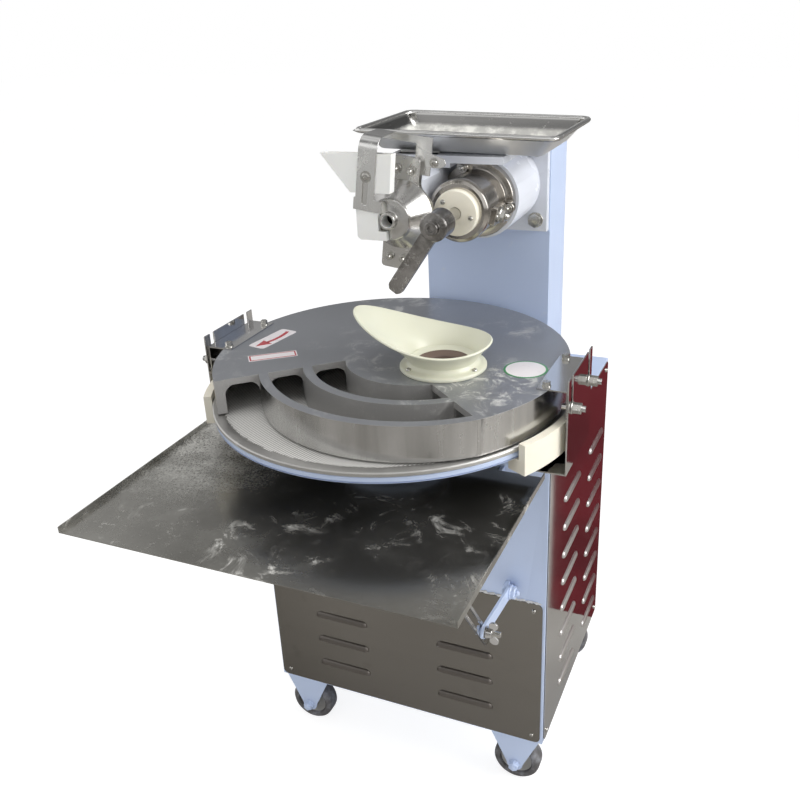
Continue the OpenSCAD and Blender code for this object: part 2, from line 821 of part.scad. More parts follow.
// A curved nylon block that reaches under the turntable's edge, from one azimuth to another
module guide_block(from, to, side) color(cream) translate([0, disc_y, 0]) {
    translate([0, 0, base_under - block_under]) rotate([0, 0, from])
        rotate_extrude(angle = to - from, $fn = disc_fn) union() {
        translate([block_in, 0]) square([block_wall, turntable_z + block_up - base_under + block_under]);
        translate([block_in - block_lip, 0]) square([block_lip, block_under - block_gap]);
    }
    scale_x(side) translate([block_in + block_wall - block_pad_w, 0, base_under - block_under])
        translate([block_pad_w - block_wall / 2, -block_pad_w, 0])
        cube([bracket_x - block_in - block_wall / 2, block_pad_w, block_under - block_gap]);
}
module guide_block_r() guide_block(-block_sweep, -block_start, 1);
module guide_block_l() guide_block(180 + block_start, 180 + block_sweep, -1);

// Column and head

module column() color(paint) difference() {
    translate([column_left, column_y, cab_top]) cube([column_w, column_d, column_top_z - cab_top]);
    translate([column_left + column_t, column_y + column_t, cab_top - over])
        cube([column_w - 2 * column_t, column_d - 2 * column_t, column_top_z - cab_top - column_t + over]);
    for (x = [knife_x, outlet_x]) translate([x, column_y - over, head_z]) along_y()
        cylinder(r = shaft_r + flange_t / 2, h = column_t + 2 * over);
}
// White casting: flange on the column, knife housing, pump barrel and feed box
feed_x = outlet_x - feed_left;
feed_w = flat_x - slip - feed_x - feed_wall - feed_thin;
module pump_body() color(white_paint) difference() {
    union() {
        translate([outlet_x - flange_left, column_y - flange_t, flange_z])
            cube([head_pitch + flange_left + flange_half_w, flange_t, flange_h]);
        translate([knife_x, housing_y, head_z]) along_y() cylinder(r = housing_r, h = column_y - housing_y);
        difference() {
            translate([outlet_x, barrel_y, head_z]) along_y() cylinder(r = barrel_r, h = column_y - barrel_y);
            translate([flat_x - slip, barrel_y - over, head_z - barrel_r])
                cube([barrel_r, housing_y - barrel_y + over, 2 * barrel_r]);
        }
        translate([feed_x, feed_y, head_z])
            cube([feed_w + feed_wall + feed_thin, feed_d + 2 * feed_wall, feed_top_z - head_z]);
        translate([feed_x, feed_y, feed_top_z - feed_wide_h])
            cube([feed_left + feed_wide, feed_d + 2 * feed_wall, feed_wide_h]);
        translate([outlet_x - top_plate_left, feed_y, feed_top_z - top_plate_t])
            cube([top_plate_w, top_plate_d, top_plate_t]);
    }
    translate([outlet_x, barrel_y - over, head_z]) along_y()
        cylinder(r = barrel_bore_r, h = column_y - barrel_back - barrel_y + over);
    translate([feed_x + feed_wall, feed_y + feed_wall, head_z])
        cube([feed_w, feed_d, feed_top_z - head_z + over]);
    for (x = [knife_x, outlet_x]) translate([x, barrel_y, head_z]) along_y()
        cylinder(r = shaft_r + run_clear, h = column_y);
}
// Polished drum with its ring flange, ears and side port
module drum() color(bright) difference() {
    translate([knife_x, 0, head_z]) union() {
        translate([0, drum_y, 0]) along_y() cylinder(r = drum_r, h = housing_y - drum_y);
        translate([0, housing_y - ring_t, 0]) along_y() cylinder(r = ring_r, h = ring_t);
        for (a = ring_bolt_angles)
            translate([ring_bolt_r * cos(a), housing_y - ring_t - ear_l, ring_bolt_r * sin(a)])
            along_y() cylinder(r = ear_r, h = ear_l);
        translate([0, port_y, 0]) rotate([0, port_angle, 0]) along_x()
            cylinder(r = port_r, h = drum_r + port_out);
    }
    translate([flat_x - ring_r, drum_y - over, head_z - ring_r])
        cube([ring_r, housing_y - drum_y + 2 * over, 2 * ring_r]);
    translate([knife_x, drum_y - over, head_z]) along_y() cylinder(r = cap_r + run_clear, h = cap_in + over);
    translate([knife_x, drum_y, head_z]) along_y() cylinder(r = shaft_r + run_clear, h = housing_y);
}
module end_cap() color(cream) translate([knife_x, 0, head_z]) difference() {
    translate([0, drum_y - cap_out, 0]) along_y() cylinder(r = cap_r, h = cap_out + cap_in);
    translate([0, drum_y - cap_out - over, 0]) along_y()
        cylinder(r = shaft_r + run_clear, h = cap_out + cap_in + 2 * over);
}
// Bolts of the column flange, the ring flange, the end cap, the side port and the outlet bell
module head_bolts() color(steel) {
    for (x = [outlet_x - flange_left + flange_bolt_inset, knife_x + flange_half_w - flange_bolt_inset],
            z = [flange_z + flange_bolt_inset, feed_top_z - flange_bolt_top])
        translate([x, column_y - flange_t, z]) rotate([90, 0, 0]) hex_bolt(m12_r * head_share, m8_r);
    for (a = ring_bolt_angles)
        translate([knife_x + ring_bolt_r * cos(a), housing_y - ring_t - ear_l, head_z + ring_bolt_r * sin(a)])
        rotate([90, 0, 0]) hex_bolt(m6_r * head_share, m6_r);
    for (a = cap_screw_angles)
        translate([knife_x + cap_screw_r * cos(a), drum_y - cap_out, head_z + cap_screw_r * sin(a)])
        rotate([90, 0, 0]) dome_head(m4_r);
    translate([knife_x, port_y, head_z]) rotate([0, port_angle, 0]) translate([drum_r + port_out, 0, 0])
        along_x()
        hex_bolt(m12_r * head_share, m8_r);
    translate([outlet_x, bell_y, head_z]) rotate([0, bell_lean, 0])
        for (s = [-1, 1], x = [-bell_bolt_x, bell_bolt_x])
        translate([x, 0, s * bell_bolt_z]) rotate([90, 0, 0]) hex_bolt(m6_r * head_share, m6_r);
}
// A hexagon head with a washer below it and a shank end above it, standing on Z zero
module hex_bolt(head_r, shank_r) {
    cylinder(r = head_r * head_h_share, h = washer_t);
    translate([0, 0, washer_t]) hexagon(head_r, shank_r * nut_h_share);
}
module knife_shaft() color(bright) translate([knife_x, hub_knife_front + over, head_z]) along_y()
    cylinder(r = shaft_r, h = sprocket_y + 2 * sprocket_t - hub_knife_front - over);
// Knife: a clamping hub, a flat blade and the socket screw that holds it
module knife_arm() color(dark_steel) translate([knife_x, 0, head_z]) difference() {
    union() {
        translate([0, hub_knife_front, 0]) along_y() cylinder(r = hub_knife_r, h = hub_knife_l);
        translate([0, blade_y, 0]) rotate([0, knife_angle - 90, 0]) along_y() linear_extrude(blade_t)
            union() {
            translate([-(knife_reach - blade_tip_r), -blade_w / 2])
                square([knife_reach - blade_tip_r, blade_w]);
            translate([-(knife_reach - blade_tip_r), 0]) circle(r = blade_tip_r);
        }
        translate([0, hub_knife_front - knife_screw_h, 0]) along_y()
            cylinder(r = knife_screw_r, h = knife_screw_h);
    }
    translate([0, hub_knife_front + over, 0]) along_y() cylinder(r = shaft_r + run_clear, h = hub_knife_l);
    translate([0, hub_knife_front - knife_screw_h - over, 0]) along_y()
        hexagon(knife_screw_r * socket_share, knife_screw_h * socket_depth_share + over);
}
// A spur gear whose tooth or gap, by phase, points along its X axis
module gear(phase) {
    root = head_pitch / 2 - gear_depth / 2 - gear_backlash / 2;
    tip = head_pitch / 2 + gear_depth / 2 - gear_backlash / 2;
    step = 360 / gear_teeth;
    linear_extrude(gear_t)
        polygon([for (k = [0 : gear_teeth - 1], p = [[-tooth_base_share, root], [-tooth_tip_share, tip],
        [tooth_tip_share, tip], [tooth_base_share, root]])
        let (a = (k + phase) * step + p[0] * step * (1 - gear_backlash / gear_depth)) [p[1] * cos(a),
            p[1] * sin(a)]]);
}
module knife_gear() color(steel) translate([knife_x, gear_y, head_z]) along_y() difference() {
    gear(0);
    translate([0, 0, -over]) cylinder(r = shaft_r + run_clear, h = gear_t + 2 * over);
}
module feed_gear() color(steel) translate([outlet_x, gear_y, head_z]) along_y() difference() {
    gear(half_step_share);
    translate([0, 0, -over]) cylinder(r = shaft_r + run_clear, h = gear_t + 2 * over);
}
// Vane rotor of the dough pump on its shaft
module feed_rotor() color(bright) translate([outlet_x, 0, head_z]) {
    translate([0, barrel_y + rotor_gap, 0]) along_y() cylinder(r = shaft_r, h = gear_y + gear_t - barrel_y);
    translate([0, barrel_y + rotor_gap, 0]) along_y()
        cylinder(r = feed_hub_r, h = column_y - barrel_back - barrel_y - 2 * rotor_gap);
    for (k = [0 : vane_count - 1]) rotate([0, k * 360 / vane_count, 0])
        translate([0, barrel_y + rotor_gap, -vane_t / 2])
            cube([barrel_bore_r - rotor_gap / 2, column_y - barrel_back - barrel_y - 2 * rotor_gap, vane_t]);
}
module sprocket(bore_r) difference() {
    union() {
        cylinder(r = sprocket_r, h = sprocket_t);
        for (z = [-sprocket_lip_t - slip, sprocket_t + slip]) translate([0, 0, z])
            cylinder(r = sprocket_r + sprocket_lip, h = sprocket_lip_t);
        translate([0, 0, -sprocket_lip_t - slip])
            cylinder(r = sprocket_r - sprocket_lip, h = sprocket_t + 2 * sprocket_lip_t + 2 * slip);
    }
    translate([0, 0, -sprocket_lip_t - slip - over])
        cylinder(r = bore_r, h = sprocket_t + 2 * sprocket_lip_t + 2 * slip + 2 * over);
}
module head_sprocket() color(steel) translate([knife_x, sprocket_y, head_z]) along_y()
    sprocket(shaft_r + run_clear);
module motor_sprocket() color(steel) translate([knife_x, sprocket_y, head_motor_z]) along_y() {
    sprocket(shaft_r - over);
    translate([0, 0, -head_motor_nose]) cylinder(r = shaft_r, h = head_motor_nose + sprocket_t);
}
module head_chain() color(dark_steel) translate([knife_x, sprocket_y, head_motor_z]) rotate([90, 0, 0])
    translate([0, 0, -sprocket_t])
        loop_band(sprocket_r, sprocket_r, head_z - head_motor_z, chain_t, sprocket_t);
// Geared motor of the head on its stand on the cabinet's floor
head_motor_y = sprocket_y - head_motor_nose / 2 - head_motor_l;
module head_motor() color(cast_alu) difference() {
    union() {
        translate([knife_x, head_motor_y, head_motor_z]) along_y()
            cylinder(r = head_motor_r, h = head_motor_l - sprocket_lip_t);
        translate([knife_x, head_motor_y - fan_l, head_motor_z]) along_y()
            cylinder(r = head_motor_r - frame_t, h = fan_l);
        translate([knife_x - stand_w / 2, head_motor_y, cab_bottom]) {
            for (x = [0, stand_w - stand_t]) translate([x, 0, 0])
                cube([stand_t, stand_l, head_motor_z - cab_bottom]);
            cube([stand_w, stand_l, stand_t]);
        }
    }
    translate([knife_x, sprocket_y - head_motor_nose - slip, head_motor_z]) along_y()
        cylinder(r = shaft_r + run_clear, h = head_motor_nose);
}
// Outlet: a leaning oval flange, a cone, the nozzle ring and a short spout
bell_front = bell_y - bell_cone_l;
spout_front = bell_front - spout_l;
module outlet_bell() color(bright) translate([outlet_x, 0, head_z]) difference() {
    union() {
        translate([0, bell_y, 0]) rotate([0, bell_lean, 0]) along_y() linear_extrude(bell_flange_t) union() {
            circle(r = bell_base_r + over);
            translate([bell_corner - bell_end_w / 2, -bell_end_z])
                square([bell_end_w - 2 * bell_corner, 2 * bell_end_z]);
            translate([-bell_end_w / 2, bell_corner - bell_end_z])
                square([bell_end_w, 2 * bell_end_z - 2 * bell_corner]);
            for (x = [-1, 1], z = [-1, 1])
                translate([x * (bell_end_w / 2 - bell_corner), z * (bell_end_z - bell_corner)])
                circle(r = bell_corner);
        }
        along_y() rotate_extrude()
            polygon([[0, spout_front], [spout_r, spout_front], [spout_r, bell_front - nozzle_l],
            [nozzle_r, bell_front - nozzle_l], [nozzle_r, bell_front], [bell_base_r, bell_y],
            [bell_base_r, bell_y + bell_sink], [0, bell_y + bell_sink]]);
    }
    along_y() rotate_extrude() polygon([[0, spout_front - over], [spout_bore_r, spout_front - over],
        [spout_bore_r, bell_front + bell_wall], [barrel_bore_r, bell_y + bell_sink],
        [barrel_bore_r, barrel_y + over], [0, barrel_y + over]]);
}

// Hopper pan with a rolled rim and a spigot
module pan_slab(grow, up, t) translate([-hopper_w / 2 - grow, -hopper_d / 2 - grow, up])
    cube([hopper_w + 2 * grow, hopper_d + 2 * grow, t]);
module pan_leant() translate([hopper_x, hopper_y, hopper_floor_z]) rotate([0, hopper_tilt, 0]) children();
module hopper() color(steel) difference() {
    union() {
        pan_leant() {
            hull() {
                pan_slab(-hopper_slope, 0, hopper_t);
                pan_slab(0, hopper_h - hopper_t, hopper_t);
            }
            translate([0, 0, hopper_h]) rim_tubes();
        }
        translate([spigot_x, spigot_y, feed_top_z - spigot_l])
            cube([feed_w - 2 * slip, feed_d - 2 * slip, spigot_l + hopper_h / 2]);
    }
    pan_leant() hull() {
        pan_slab(-hopper_slope - hopper_t, hopper_t, hopper_t);
        pan_slab(-hopper_t, hopper_h, over);
    }
    translate([spigot_x + hopper_t, spigot_y + hopper_t, feed_top_z - spigot_l - over])
        cube([feed_w - 2 * slip - 2 * hopper_t, feed_d - 2 * slip - 2 * hopper_t, spigot_l + hopper_h]);
}
spigot_x = feed_x + feed_wall + slip;
spigot_y = feed_y + feed_wall + slip;
module rim_tubes() {
    for (s = [-1, 1]) {
        translate([-hopper_w / 2, s * hopper_d / 2, 0]) along_x() cylinder(r = hopper_rim_r, h = hopper_w);
        translate([s * hopper_w / 2, -hopper_d / 2, 0]) along_y() cylinder(r = hopper_rim_r, h = hopper_d);
        for (t = [-1, 1]) translate([s * hopper_w / 2, t * hopper_d / 2, 0]) sphere(r = hopper_rim_r);
    }
}

// Guard strap: hangs in front of the outlet, bends back over it and is bolted behind the bell's flange
module lean_frame() translate([outlet_x, 0, head_z]) rotate([0, bell_lean, 0]) children();
module guard_strap() color(bright) lean_frame() difference() {
    union() {
        translate([strap_x, -strap_t, strap_low]) cube([strap_w, strap_t, strap_high - strap_low]);
        translate([strap_wide_x, -strap_t, strap_low]) cube([strap_wide_w, strap_t, strap_wide_h]);
        translate([strap_x, strap_bend_r - strap_t, strap_high]) rotate([0, 90, 0]) rotate([0, 0, 180])
            rotate_extrude(angle = 90) translate([strap_bend_r - strap_t, 0]) square([strap_t, strap_w]);
        translate([strap_x, strap_bend_r - strap_t, strap_high + strap_bend_r - strap_t])
            cube([strap_w, strap_back - strap_bend_r + strap_t, strap_t]);
        translate([strap_x, strap_back - bracket_plate_t, strap_high + strap_bend_r - bracket_strip_h])
            cube([bracket_plate_right - strap_x, bracket_plate_t, bracket_strip_h]);
        translate([bracket_plate_right - bracket_leg_w, strap_back - bracket_plate_t, bracket_leg_low])
            cube([bracket_leg_w, bracket_plate_t, strap_high + strap_bend_r - bracket_leg_low]);
    }
    for (z = [strap_slot_low, strap_slot_high]) translate([strap_x + strap_w / 2, -strap_t - over, z])
        along_y() cylinder(r = strap_slot_w / 2, h = strap_t + 2 * over);
    translate([strap_x + (strap_w - strap_slot_w) / 2, -strap_t - over, strap_slot_low])
        cube([strap_slot_w, strap_t + 2 * over, strap_slot_high - strap_slot_low]);
}
// Flour box behind the strap, with the screw that clamps it in the strap's slot
module flour_box() color(ivory) {
    difference() {
        translate([outlet_x, slip, 0]) along_y() linear_extrude(flour_d) polygon([[-flour_left, -flour_top_z],
            [flour_right, -flour_top_z], [flour_right_low, -flour_low_z], [-flour_left_low, -flour_low_z]]);
        translate([outlet_x, slip + flour_wall, 0]) along_y() linear_extrude(flour_d - 2 * flour_wall)
            polygon([
            [-flour_left + 2 * flour_wall, -flour_top_z - over], [flour_right - flour_wall,
                -flour_top_z - over],
            [flour_right_low - flour_wall, -flour_low_z - flour_wall], [-flour_left_low + flour_wall,
                -flour_low_z - flour_wall]]);
    }
    lean_frame() translate([strap_x + strap_w / 2, -strap_t - slip, strap_slot_high]) {
        along_y() cylinder(r = m4_r, h = strap_t + 2 * slip + flour_wall / 2);
        rotate([90, 0, 0]) cylinder(r = m4_r * head_share * head_h_share, h = m4_r / 2);
    }
}
// Flour cup below the box, fastened behind the strap's end, notched beside the spout
module flour_cup() color(ivory) translate([outlet_x, 0, 0]) difference() {
    along_y() linear_extrude(cup_d) {
        polygon([[-cup_left, -cup_top_z], [-cup_mid, -cup_top_z], [-cup_mid, -cup_notch_z], [-cup_right,
            -cup_notch_z],
            [-cup_right, -cup_low_z], [cup_corner - cup_left, -cup_low_z], [-cup_left,
                -cup_low_z - cup_corner]]);
        translate([cup_corner - cup_left, -cup_low_z - cup_corner]) circle(r = cup_corner);
    }
    translate([0, cup_wall, 0]) along_y() linear_extrude(cup_d - 2 * cup_wall)
        polygon([[cup_wall - cup_left, -cup_top_z - over], [-cup_mid - cup_wall, -cup_top_z - over],
            [-cup_mid - cup_wall, -cup_low_z - cup_wall],
            [cup_corner - cup_left, -cup_low_z - cup_wall], [cup_wall - cup_left, -cup_low_z - cup_corner]]);
}

// Tray

hinge_len = hinge_l - 2 * hinge_ear_t - 2 * slip;
// Catch tray: a sheet with side lips, hinge tubes at its back and a lug for the link
module tray() color(steel) difference() {
    union() {
        translate([tray_left, tray_front_y, tray_z - tray_t]) cube([tray_w, tray_d, tray_t]);
        for (x = [tray_left, tray_right - tray_t]) translate([x, tray_front_y, tray_z - tray_t])
            cube([tray_t, tray_d, tray_lip]);
        both_sides() translate([hinge_x - hinge_len / 2, 0, 0]) {
            translate([0, hinge_y, hinge_z]) along_x() cylinder(r = hinge_r, h = hinge_len);
            translate([0, hinge_y - hinge_r - hinge_r, hinge_z + hinge_r - hinge_web_t])
                cube([hinge_len, 2 * hinge_r, hinge_web_t]);
            translate([0, hinge_y - 3 * hinge_r, hinge_z + hinge_r - hinge_web_t])
                cube([hinge_len, 2 * hinge_r, tray_z - tray_t - hinge_z - hinge_r + hinge_web_t]);
        }
        translate([link_x - lug_t - slip, link_y - lug_w / 2, link_z])
            cube([lug_t, lug_w, tray_z - tray_t - link_z]);
        translate([link_x - lug_t - slip, link_y, link_z]) along_x() cylinder(r = lug_w / 2, h = lug_t);
        translate([link_x - lug_t - slip, link_y, link_z]) along_x()
            cylinder(r = m6_r, h = lug_t + link_t + 2 * slip);
        translate([link_x + link_t + slip, link_y, link_z]) along_x() hexagon(m6_r * head_share, m6_r);
    }
    both_sides() translate([hinge_x - hinge_l / 2, hinge_y, hinge_z]) along_x()
        cylinder(r = hinge_pin_r + run_clear, h = hinge_l);
}
// Hinge ears on the cabinet's front with their pins, and the pivot of the arm
module tray_hinge() color(paint) {
    both_sides() translate([hinge_x - hinge_l / 2, 0, 0]) {
        for (x = [0, hinge_l - hinge_ear_t]) translate([x, hinge_y, hinge_z]) {
            along_x() cylinder(r = hinge_r, h = hinge_ear_t);
            translate([0, 0, -hinge_r]) cube([hinge_ear_t, -hinge_y, 2 * hinge_r]);
        }
        translate([0, hinge_y, hinge_z]) along_x() cylinder(r = hinge_pin_r, h = hinge_l);
    }
    translate([arm_x - slip - m12_r, arm_y, arm_z]) along_x() cylinder(r = arm_boss_r, h = m12_r);
    translate([arm_x - slip - m12_r, arm_y, arm_z - arm_boss_r]) cube([m12_r, -arm_y, 2 * arm_boss_r]);
    translate([arm_x - slip - m12_r, arm_y, arm_z]) along_x()
        cylinder(r = m8_r, h = m12_r + 2 * slip + arm_t);
    translate([arm_x + arm_t + slip, arm_y, arm_z]) along_x() hexagon(m8_r * head_share, m8_r);
}
// A flat bar in the Y and Z plane from the origin along +Y, with round ends
module bar_2d(l, w) {
    translate([0, -w / 2]) square([l, w]);
    for (y = [0, l]) translate([y, 0]) circle(r = w / 2);
}
// Lays a drawing's X along +Y and its Y along +Z
module in_side_plane() { rotate([90, 0, 90]) children(); }
// Arm from the cabinet to the clamp, with the clamp's bolt
module tray_arm() color(paint) {
    difference() {
        translate([arm_x, arm_y, arm_z]) in_side_plane() rotate([0, 0, arm_angle]) linear_extrude(arm_t)
            bar_2d(arm_len, arm_w);
        translate([arm_x - over, arm_y, arm_z]) along_x()
            cylinder(r = m8_r + run_clear, h = arm_t + 2 * over);
    }
    translate([link_x - slip, clamp_y, clamp_z]) along_x() cylinder(r = m8_r, h = clamp_out + link_t);
    translate([link_x - slip - m8_r, clamp_y, clamp_z]) along_x() hexagon(m8_r * head_share, m8_r);
    translate([arm_x + arm_t, clamp_y, clamp_z]) along_x()
        cylinder(r = m8_r * washer_share, h = washer_t - slip);
}
// Slotted link from the tray's lug down to the clamp
module tray_link() color(bright) difference() {
    translate([link_x, link_y, link_z]) in_side_plane() rotate([0, 0, link_angle + 180])
        linear_extrude(link_t) difference() {
        bar_2d(link_len + link_past, link_w);
        translate([link_slot_start, 0])
            bar_2d(link_len + link_past - link_slot_start - link_slot_end, link_slot_w);
    }
    translate([link_x - over, link_y, link_z]) along_x()
        cylinder(r = m6_r + run_clear, h = link_t + 2 * over);
}
// Wing nut on the clamp's bolt
module wing_nut() color(bright) translate([wing_x, clamp_y, clamp_z]) difference() {
    union() {
        along_x() cylinder(r = wing_hub_r, h = wing_hub_l);
        for (s = [-1, 1]) translate([wing_hub_l / 2, 0, 0]) rotate([90 - arm_angle, 0, 0]) {
            translate([0, s > 0 ? 0 : -wing_out, -wing_t / 2]) cube([wing_hub_l / 2, wing_out, wing_t]);
            translate([wing_hub_l / 2, s * wing_out, -wing_t / 2]) cylinder(r = wing_r, h = wing_t);
        }
    }
    translate([-over, 0, 0]) along_x() cylinder(r = m8_r + run_clear, h = 2 * wing_hub_l);
}

place() frame();
place() front_panel();
place() side_panel_l();
place() side_panel_r();
place() back_panel();
place() panel_screws();
place() cable_gland();
place() caster_fork(-caster_x, caster_front_y);  // caster_fork_fl
place() caster_fork(caster_x, caster_front_y);  // caster_fork_fr
place() caster_fork(-caster_x, caster_rear_y);  // caster_fork_rl
place() caster_fork(caster_x, caster_rear_y);  // caster_fork_rr
place() caster_wheel(-caster_x, caster_front_y);  // caster_wheel_fl
place() caster_wheel(caster_x, caster_front_y);  // caster_wheel_fr
place() caster_wheel(-caster_x, caster_rear_y);  // caster_wheel_rl
place() caster_wheel(caster_x, caster_rear_y);  // caster_wheel_rr
place() deck_plate();
place() pivot_post();
place() turntable_plate();
place() turntable_base();
place() turntable_pulley();
place() gearbox();
place() gearbox_shaft();
place() motor_pulley();
place() drive_belt();
place() rounder_motor();
place() cover_disc();
place() funnel();
place() cover_screws();
place() hanger_l();
place() hanger_r();
place() hanger_nuts();
place() bracket_l();
place() bracket_r();
place() guide_block_l();
place() guide_block_r();
place() column();
place() pump_body();
place() head_bolts();
place() drum();
place() end_cap();
place() knife_shaft();
place() knife_arm();
place() knife_gear();
place() feed_gear();
place() feed_rotor();
place() head_sprocket();
place() motor_sprocket();
place() head_chain();
place() head_motor();
place() outlet_bell();
place() hopper();
place() guard_strap();
place() flour_box();
place() flour_cup();
place() tray();
place() tray_hinge();
place() tray_arm();
place() tray_link();
place() wing_nut();
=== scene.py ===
import json
import math
import bmesh
import bpy
from mathutils import Matrix, Vector


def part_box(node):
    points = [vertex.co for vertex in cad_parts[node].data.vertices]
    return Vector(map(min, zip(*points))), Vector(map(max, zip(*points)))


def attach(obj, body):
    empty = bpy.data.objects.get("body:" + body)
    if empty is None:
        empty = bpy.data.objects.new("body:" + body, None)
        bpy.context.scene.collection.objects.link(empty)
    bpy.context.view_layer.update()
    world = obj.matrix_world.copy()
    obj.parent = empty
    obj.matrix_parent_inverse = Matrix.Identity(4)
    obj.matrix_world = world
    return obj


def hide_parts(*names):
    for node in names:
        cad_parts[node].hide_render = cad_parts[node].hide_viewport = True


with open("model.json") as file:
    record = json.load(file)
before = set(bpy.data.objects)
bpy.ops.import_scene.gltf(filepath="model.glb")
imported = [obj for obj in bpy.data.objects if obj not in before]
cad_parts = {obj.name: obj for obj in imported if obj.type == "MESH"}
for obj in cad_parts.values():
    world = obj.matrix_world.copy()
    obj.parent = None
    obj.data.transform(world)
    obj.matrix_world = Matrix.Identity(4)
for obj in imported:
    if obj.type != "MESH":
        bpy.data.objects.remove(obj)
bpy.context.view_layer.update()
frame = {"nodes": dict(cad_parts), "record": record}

# Sizes are millimetres in the machine's frame: X across, Y from the cabinet's front, Z from the floor
cabinet_low, cabinet_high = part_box("frame")
SHIFT_X = 500 * (cabinet_low.x + cabinet_high.x)
SHIFT_Y = 1000 * cabinet_low.y
TO_PART = Matrix.Scale(0.001, 4) @ Matrix.Translation((SHIFT_X, SHIFT_Y, 0))
DISC_Y, COVER_TOP, TABLE_TOP = 16, 717, 667
KNIFE_X, OUTLET_X, HEAD_Z, BELL_Y, BELL_LEAN = 82, 12, 906, 42, 7.7
PORT_Y, PORT_LEAN = 112, 14
EAR_RING, EAR_Y, CAP_Y, COLUMN_Y = 48.5, 136, 60, 263
FUNNEL_X, FUNNEL_Y = 86.3, -6
SHEET, SHEET_FOOT, FRONT_HEAD, SIDE_HEAD = 1.5, 98, 360, 602
SIDE_X, SIDE_MIDDLE, BACK_Y = 232, 182.5, 365
LOUVRE_LONG, LOUVRE_STEP = 92, 49
WHEEL_R = 37.5
STUD_Y, STUD_Z = 45, 693
ARM_X, CLAMP_X = 183.2, 184.8
PAN_X, PAN_Y, PAN_LEAN = 62, 196, 1.4
BASE = "base"


def spot(x, y, z):
    return TO_PART @ Vector((x, y, z))


def turn(degrees, axis):
    return Matrix.Rotation(math.radians(degrees), 4, axis)


def move(x, y, z):
    return Matrix.Translation((x, y, z))


def around(degrees, radius):
    a = math.radians(degrees)
    return radius * math.cos(a), radius * math.sin(a)


# Camera at the photograph's place
def set_camera():
    yaw, pitch, roll = (math.radians(d) for d in (24.89, 24.45, -2.83))
    back = Vector((math.sin(yaw) * math.cos(pitch), -math.cos(yaw) * math.cos(pitch), math.sin(pitch)))
    right = Vector((math.cos(yaw), math.sin(yaw), 0))
    up = back.cross(right)
    side = math.cos(roll) * right + math.sin(roll) * up
    top = math.cos(roll) * up - math.sin(roll) * right
    lens = bpy.data.cameras.new("camera")
    lens.lens, lens.sensor_width = 41.0, 36.0
    lens.clip_start, lens.clip_end = 0.01, 50
    camera = bpy.data.objects.new("camera", lens)
    camera.matrix_world = Matrix((side, top, back)).transposed().to_4x4()
    camera.location = spot(503.8, -1047.9, 1180.5)
    bpy.context.scene.collection.objects.link(camera)
    bpy.context.scene.camera = camera


# A socket that takes sums and products
class Value:
    def __init__(self, tree, socket):
        self.tree, self.socket = tree, socket

    def maths(self, operation, *parts):
        return self.tree.add("ShaderNodeMath", {"operation": operation}, dict(enumerate(parts)))

    def __add__(self, other):
        return self.maths("ADD", self, other)

    def __radd__(self, other):
        return self.maths("ADD", other, self)

    def __sub__(self, other):
        return self.maths("SUBTRACT", self, other)

    def __rsub__(self, other):
        return self.maths("SUBTRACT", other, self)

    def __mul__(self, other):
        return self.maths("MULTIPLY", self, other)

    def __rmul__(self, other):
        return self.maths("MULTIPLY", other, self)

    def __truediv__(self, other):
        return self.maths("DIVIDE", self, other)

    def __rtruediv__(self, other):
        return self.maths("DIVIDE", other, self)

    def __pow__(self, other):
        return self.maths("POWER", self, other)

    def __rpow__(self, other):
        return self.maths("POWER", other, self)

    def wave(self):
        return self.maths("SINE", self)

    def low(self, other):
        return self.maths("MINIMUM", self, other)

    def ramp(self, low, high):
        return self.tree.add("ShaderNodeMapRange", {"interpolation_type": "SMOOTHSTEP"},
                             {0: self, 1: low, 2: high, 3: 0.0, 4: 1.0})


# A node tree: one method makes any node from its type, settings and sockets
class NodeTree:
    def __init__(self, tree):
        tree.nodes.clear()
        self.nodes, self.links = tree.nodes, tree.links

    def feed(self, socket, value):
        if isinstance(value, Value):
            self.links.new(value.socket, socket)
        elif isinstance(value, tuple) and len(value) == 3 and socket.type == "RGBA":
            socket.default_value = (*value, 1)
        else:
            socket.default_value = value

    def node(self, kind, settings, sockets):
        made = self.nodes.new(kind)
        for key, value in settings.items():
            setattr(made, key, value)
        for key, value in sockets.items():
            self.feed(made.inputs[key], value)
        return made

    def add(self, kind, settings, sockets, out=0):
        return Value(self, self.node(kind, settings, sockets).outputs[out])


# A material with one main shader
class Finish(NodeTree):
    def __init__(self, name, **constants):
        self.material = bpy.data.materials.new(name)
        self.material.use_nodes = True
        super().__init__(self.material.node_tree)
        self.shader = self.node("ShaderNodeBsdfPrincipled", {}, {})
        self.surface = Value(self, self.shader.outputs[0])
        self.output = self.node("ShaderNodeOutputMaterial", {}, {"Surface": self.surface})
        self.spots = self.add("ShaderNodeTexCoord", {}, {}, "Object")
        self.set(**constants)

    def set(self, **values):
        for socket, value in values.items():
            self.feed(self.shader.inputs[socket.replace("_", " ")], value)
        return self.material

    def placed(self, stretch=(1, 1, 1), centre=(0, 0, 0)):
        return self.add("ShaderNodeMapping", {}, {"Vector": self.spots, "Scale": stretch, "Location": centre})

    def noise(self, scale, detail=4.0, stretch=(1, 1, 1), rough=0.55, bend=0.0):
        return self.add("ShaderNodeTexNoise", {}, {"Vector": self.placed(stretch), "Scale": scale,
                        "Detail": detail, "Roughness": rough, "Distortion": bend})

    def axis(self, name, centre=(0, 0, 0)):
        return self.add("ShaderNodeSeparateXYZ", {}, {0: self.placed(centre=centre)}, name)

    def tint(self, share, first, second):
        return self.add("ShaderNodeMix", {"data_type": "RGBA"}, {0: share, 6: first, 7: second}, 2)

    def bump(self, height, strength, depth):
        return self.add("ShaderNodeBump", {}, {"Strength": strength, "Distance": depth, "Height": height})


def shade(colour, share):
    return tuple(min(1.0, c * share) for c in colour)


FLOUR = (0.80, 0.79, 0.74)


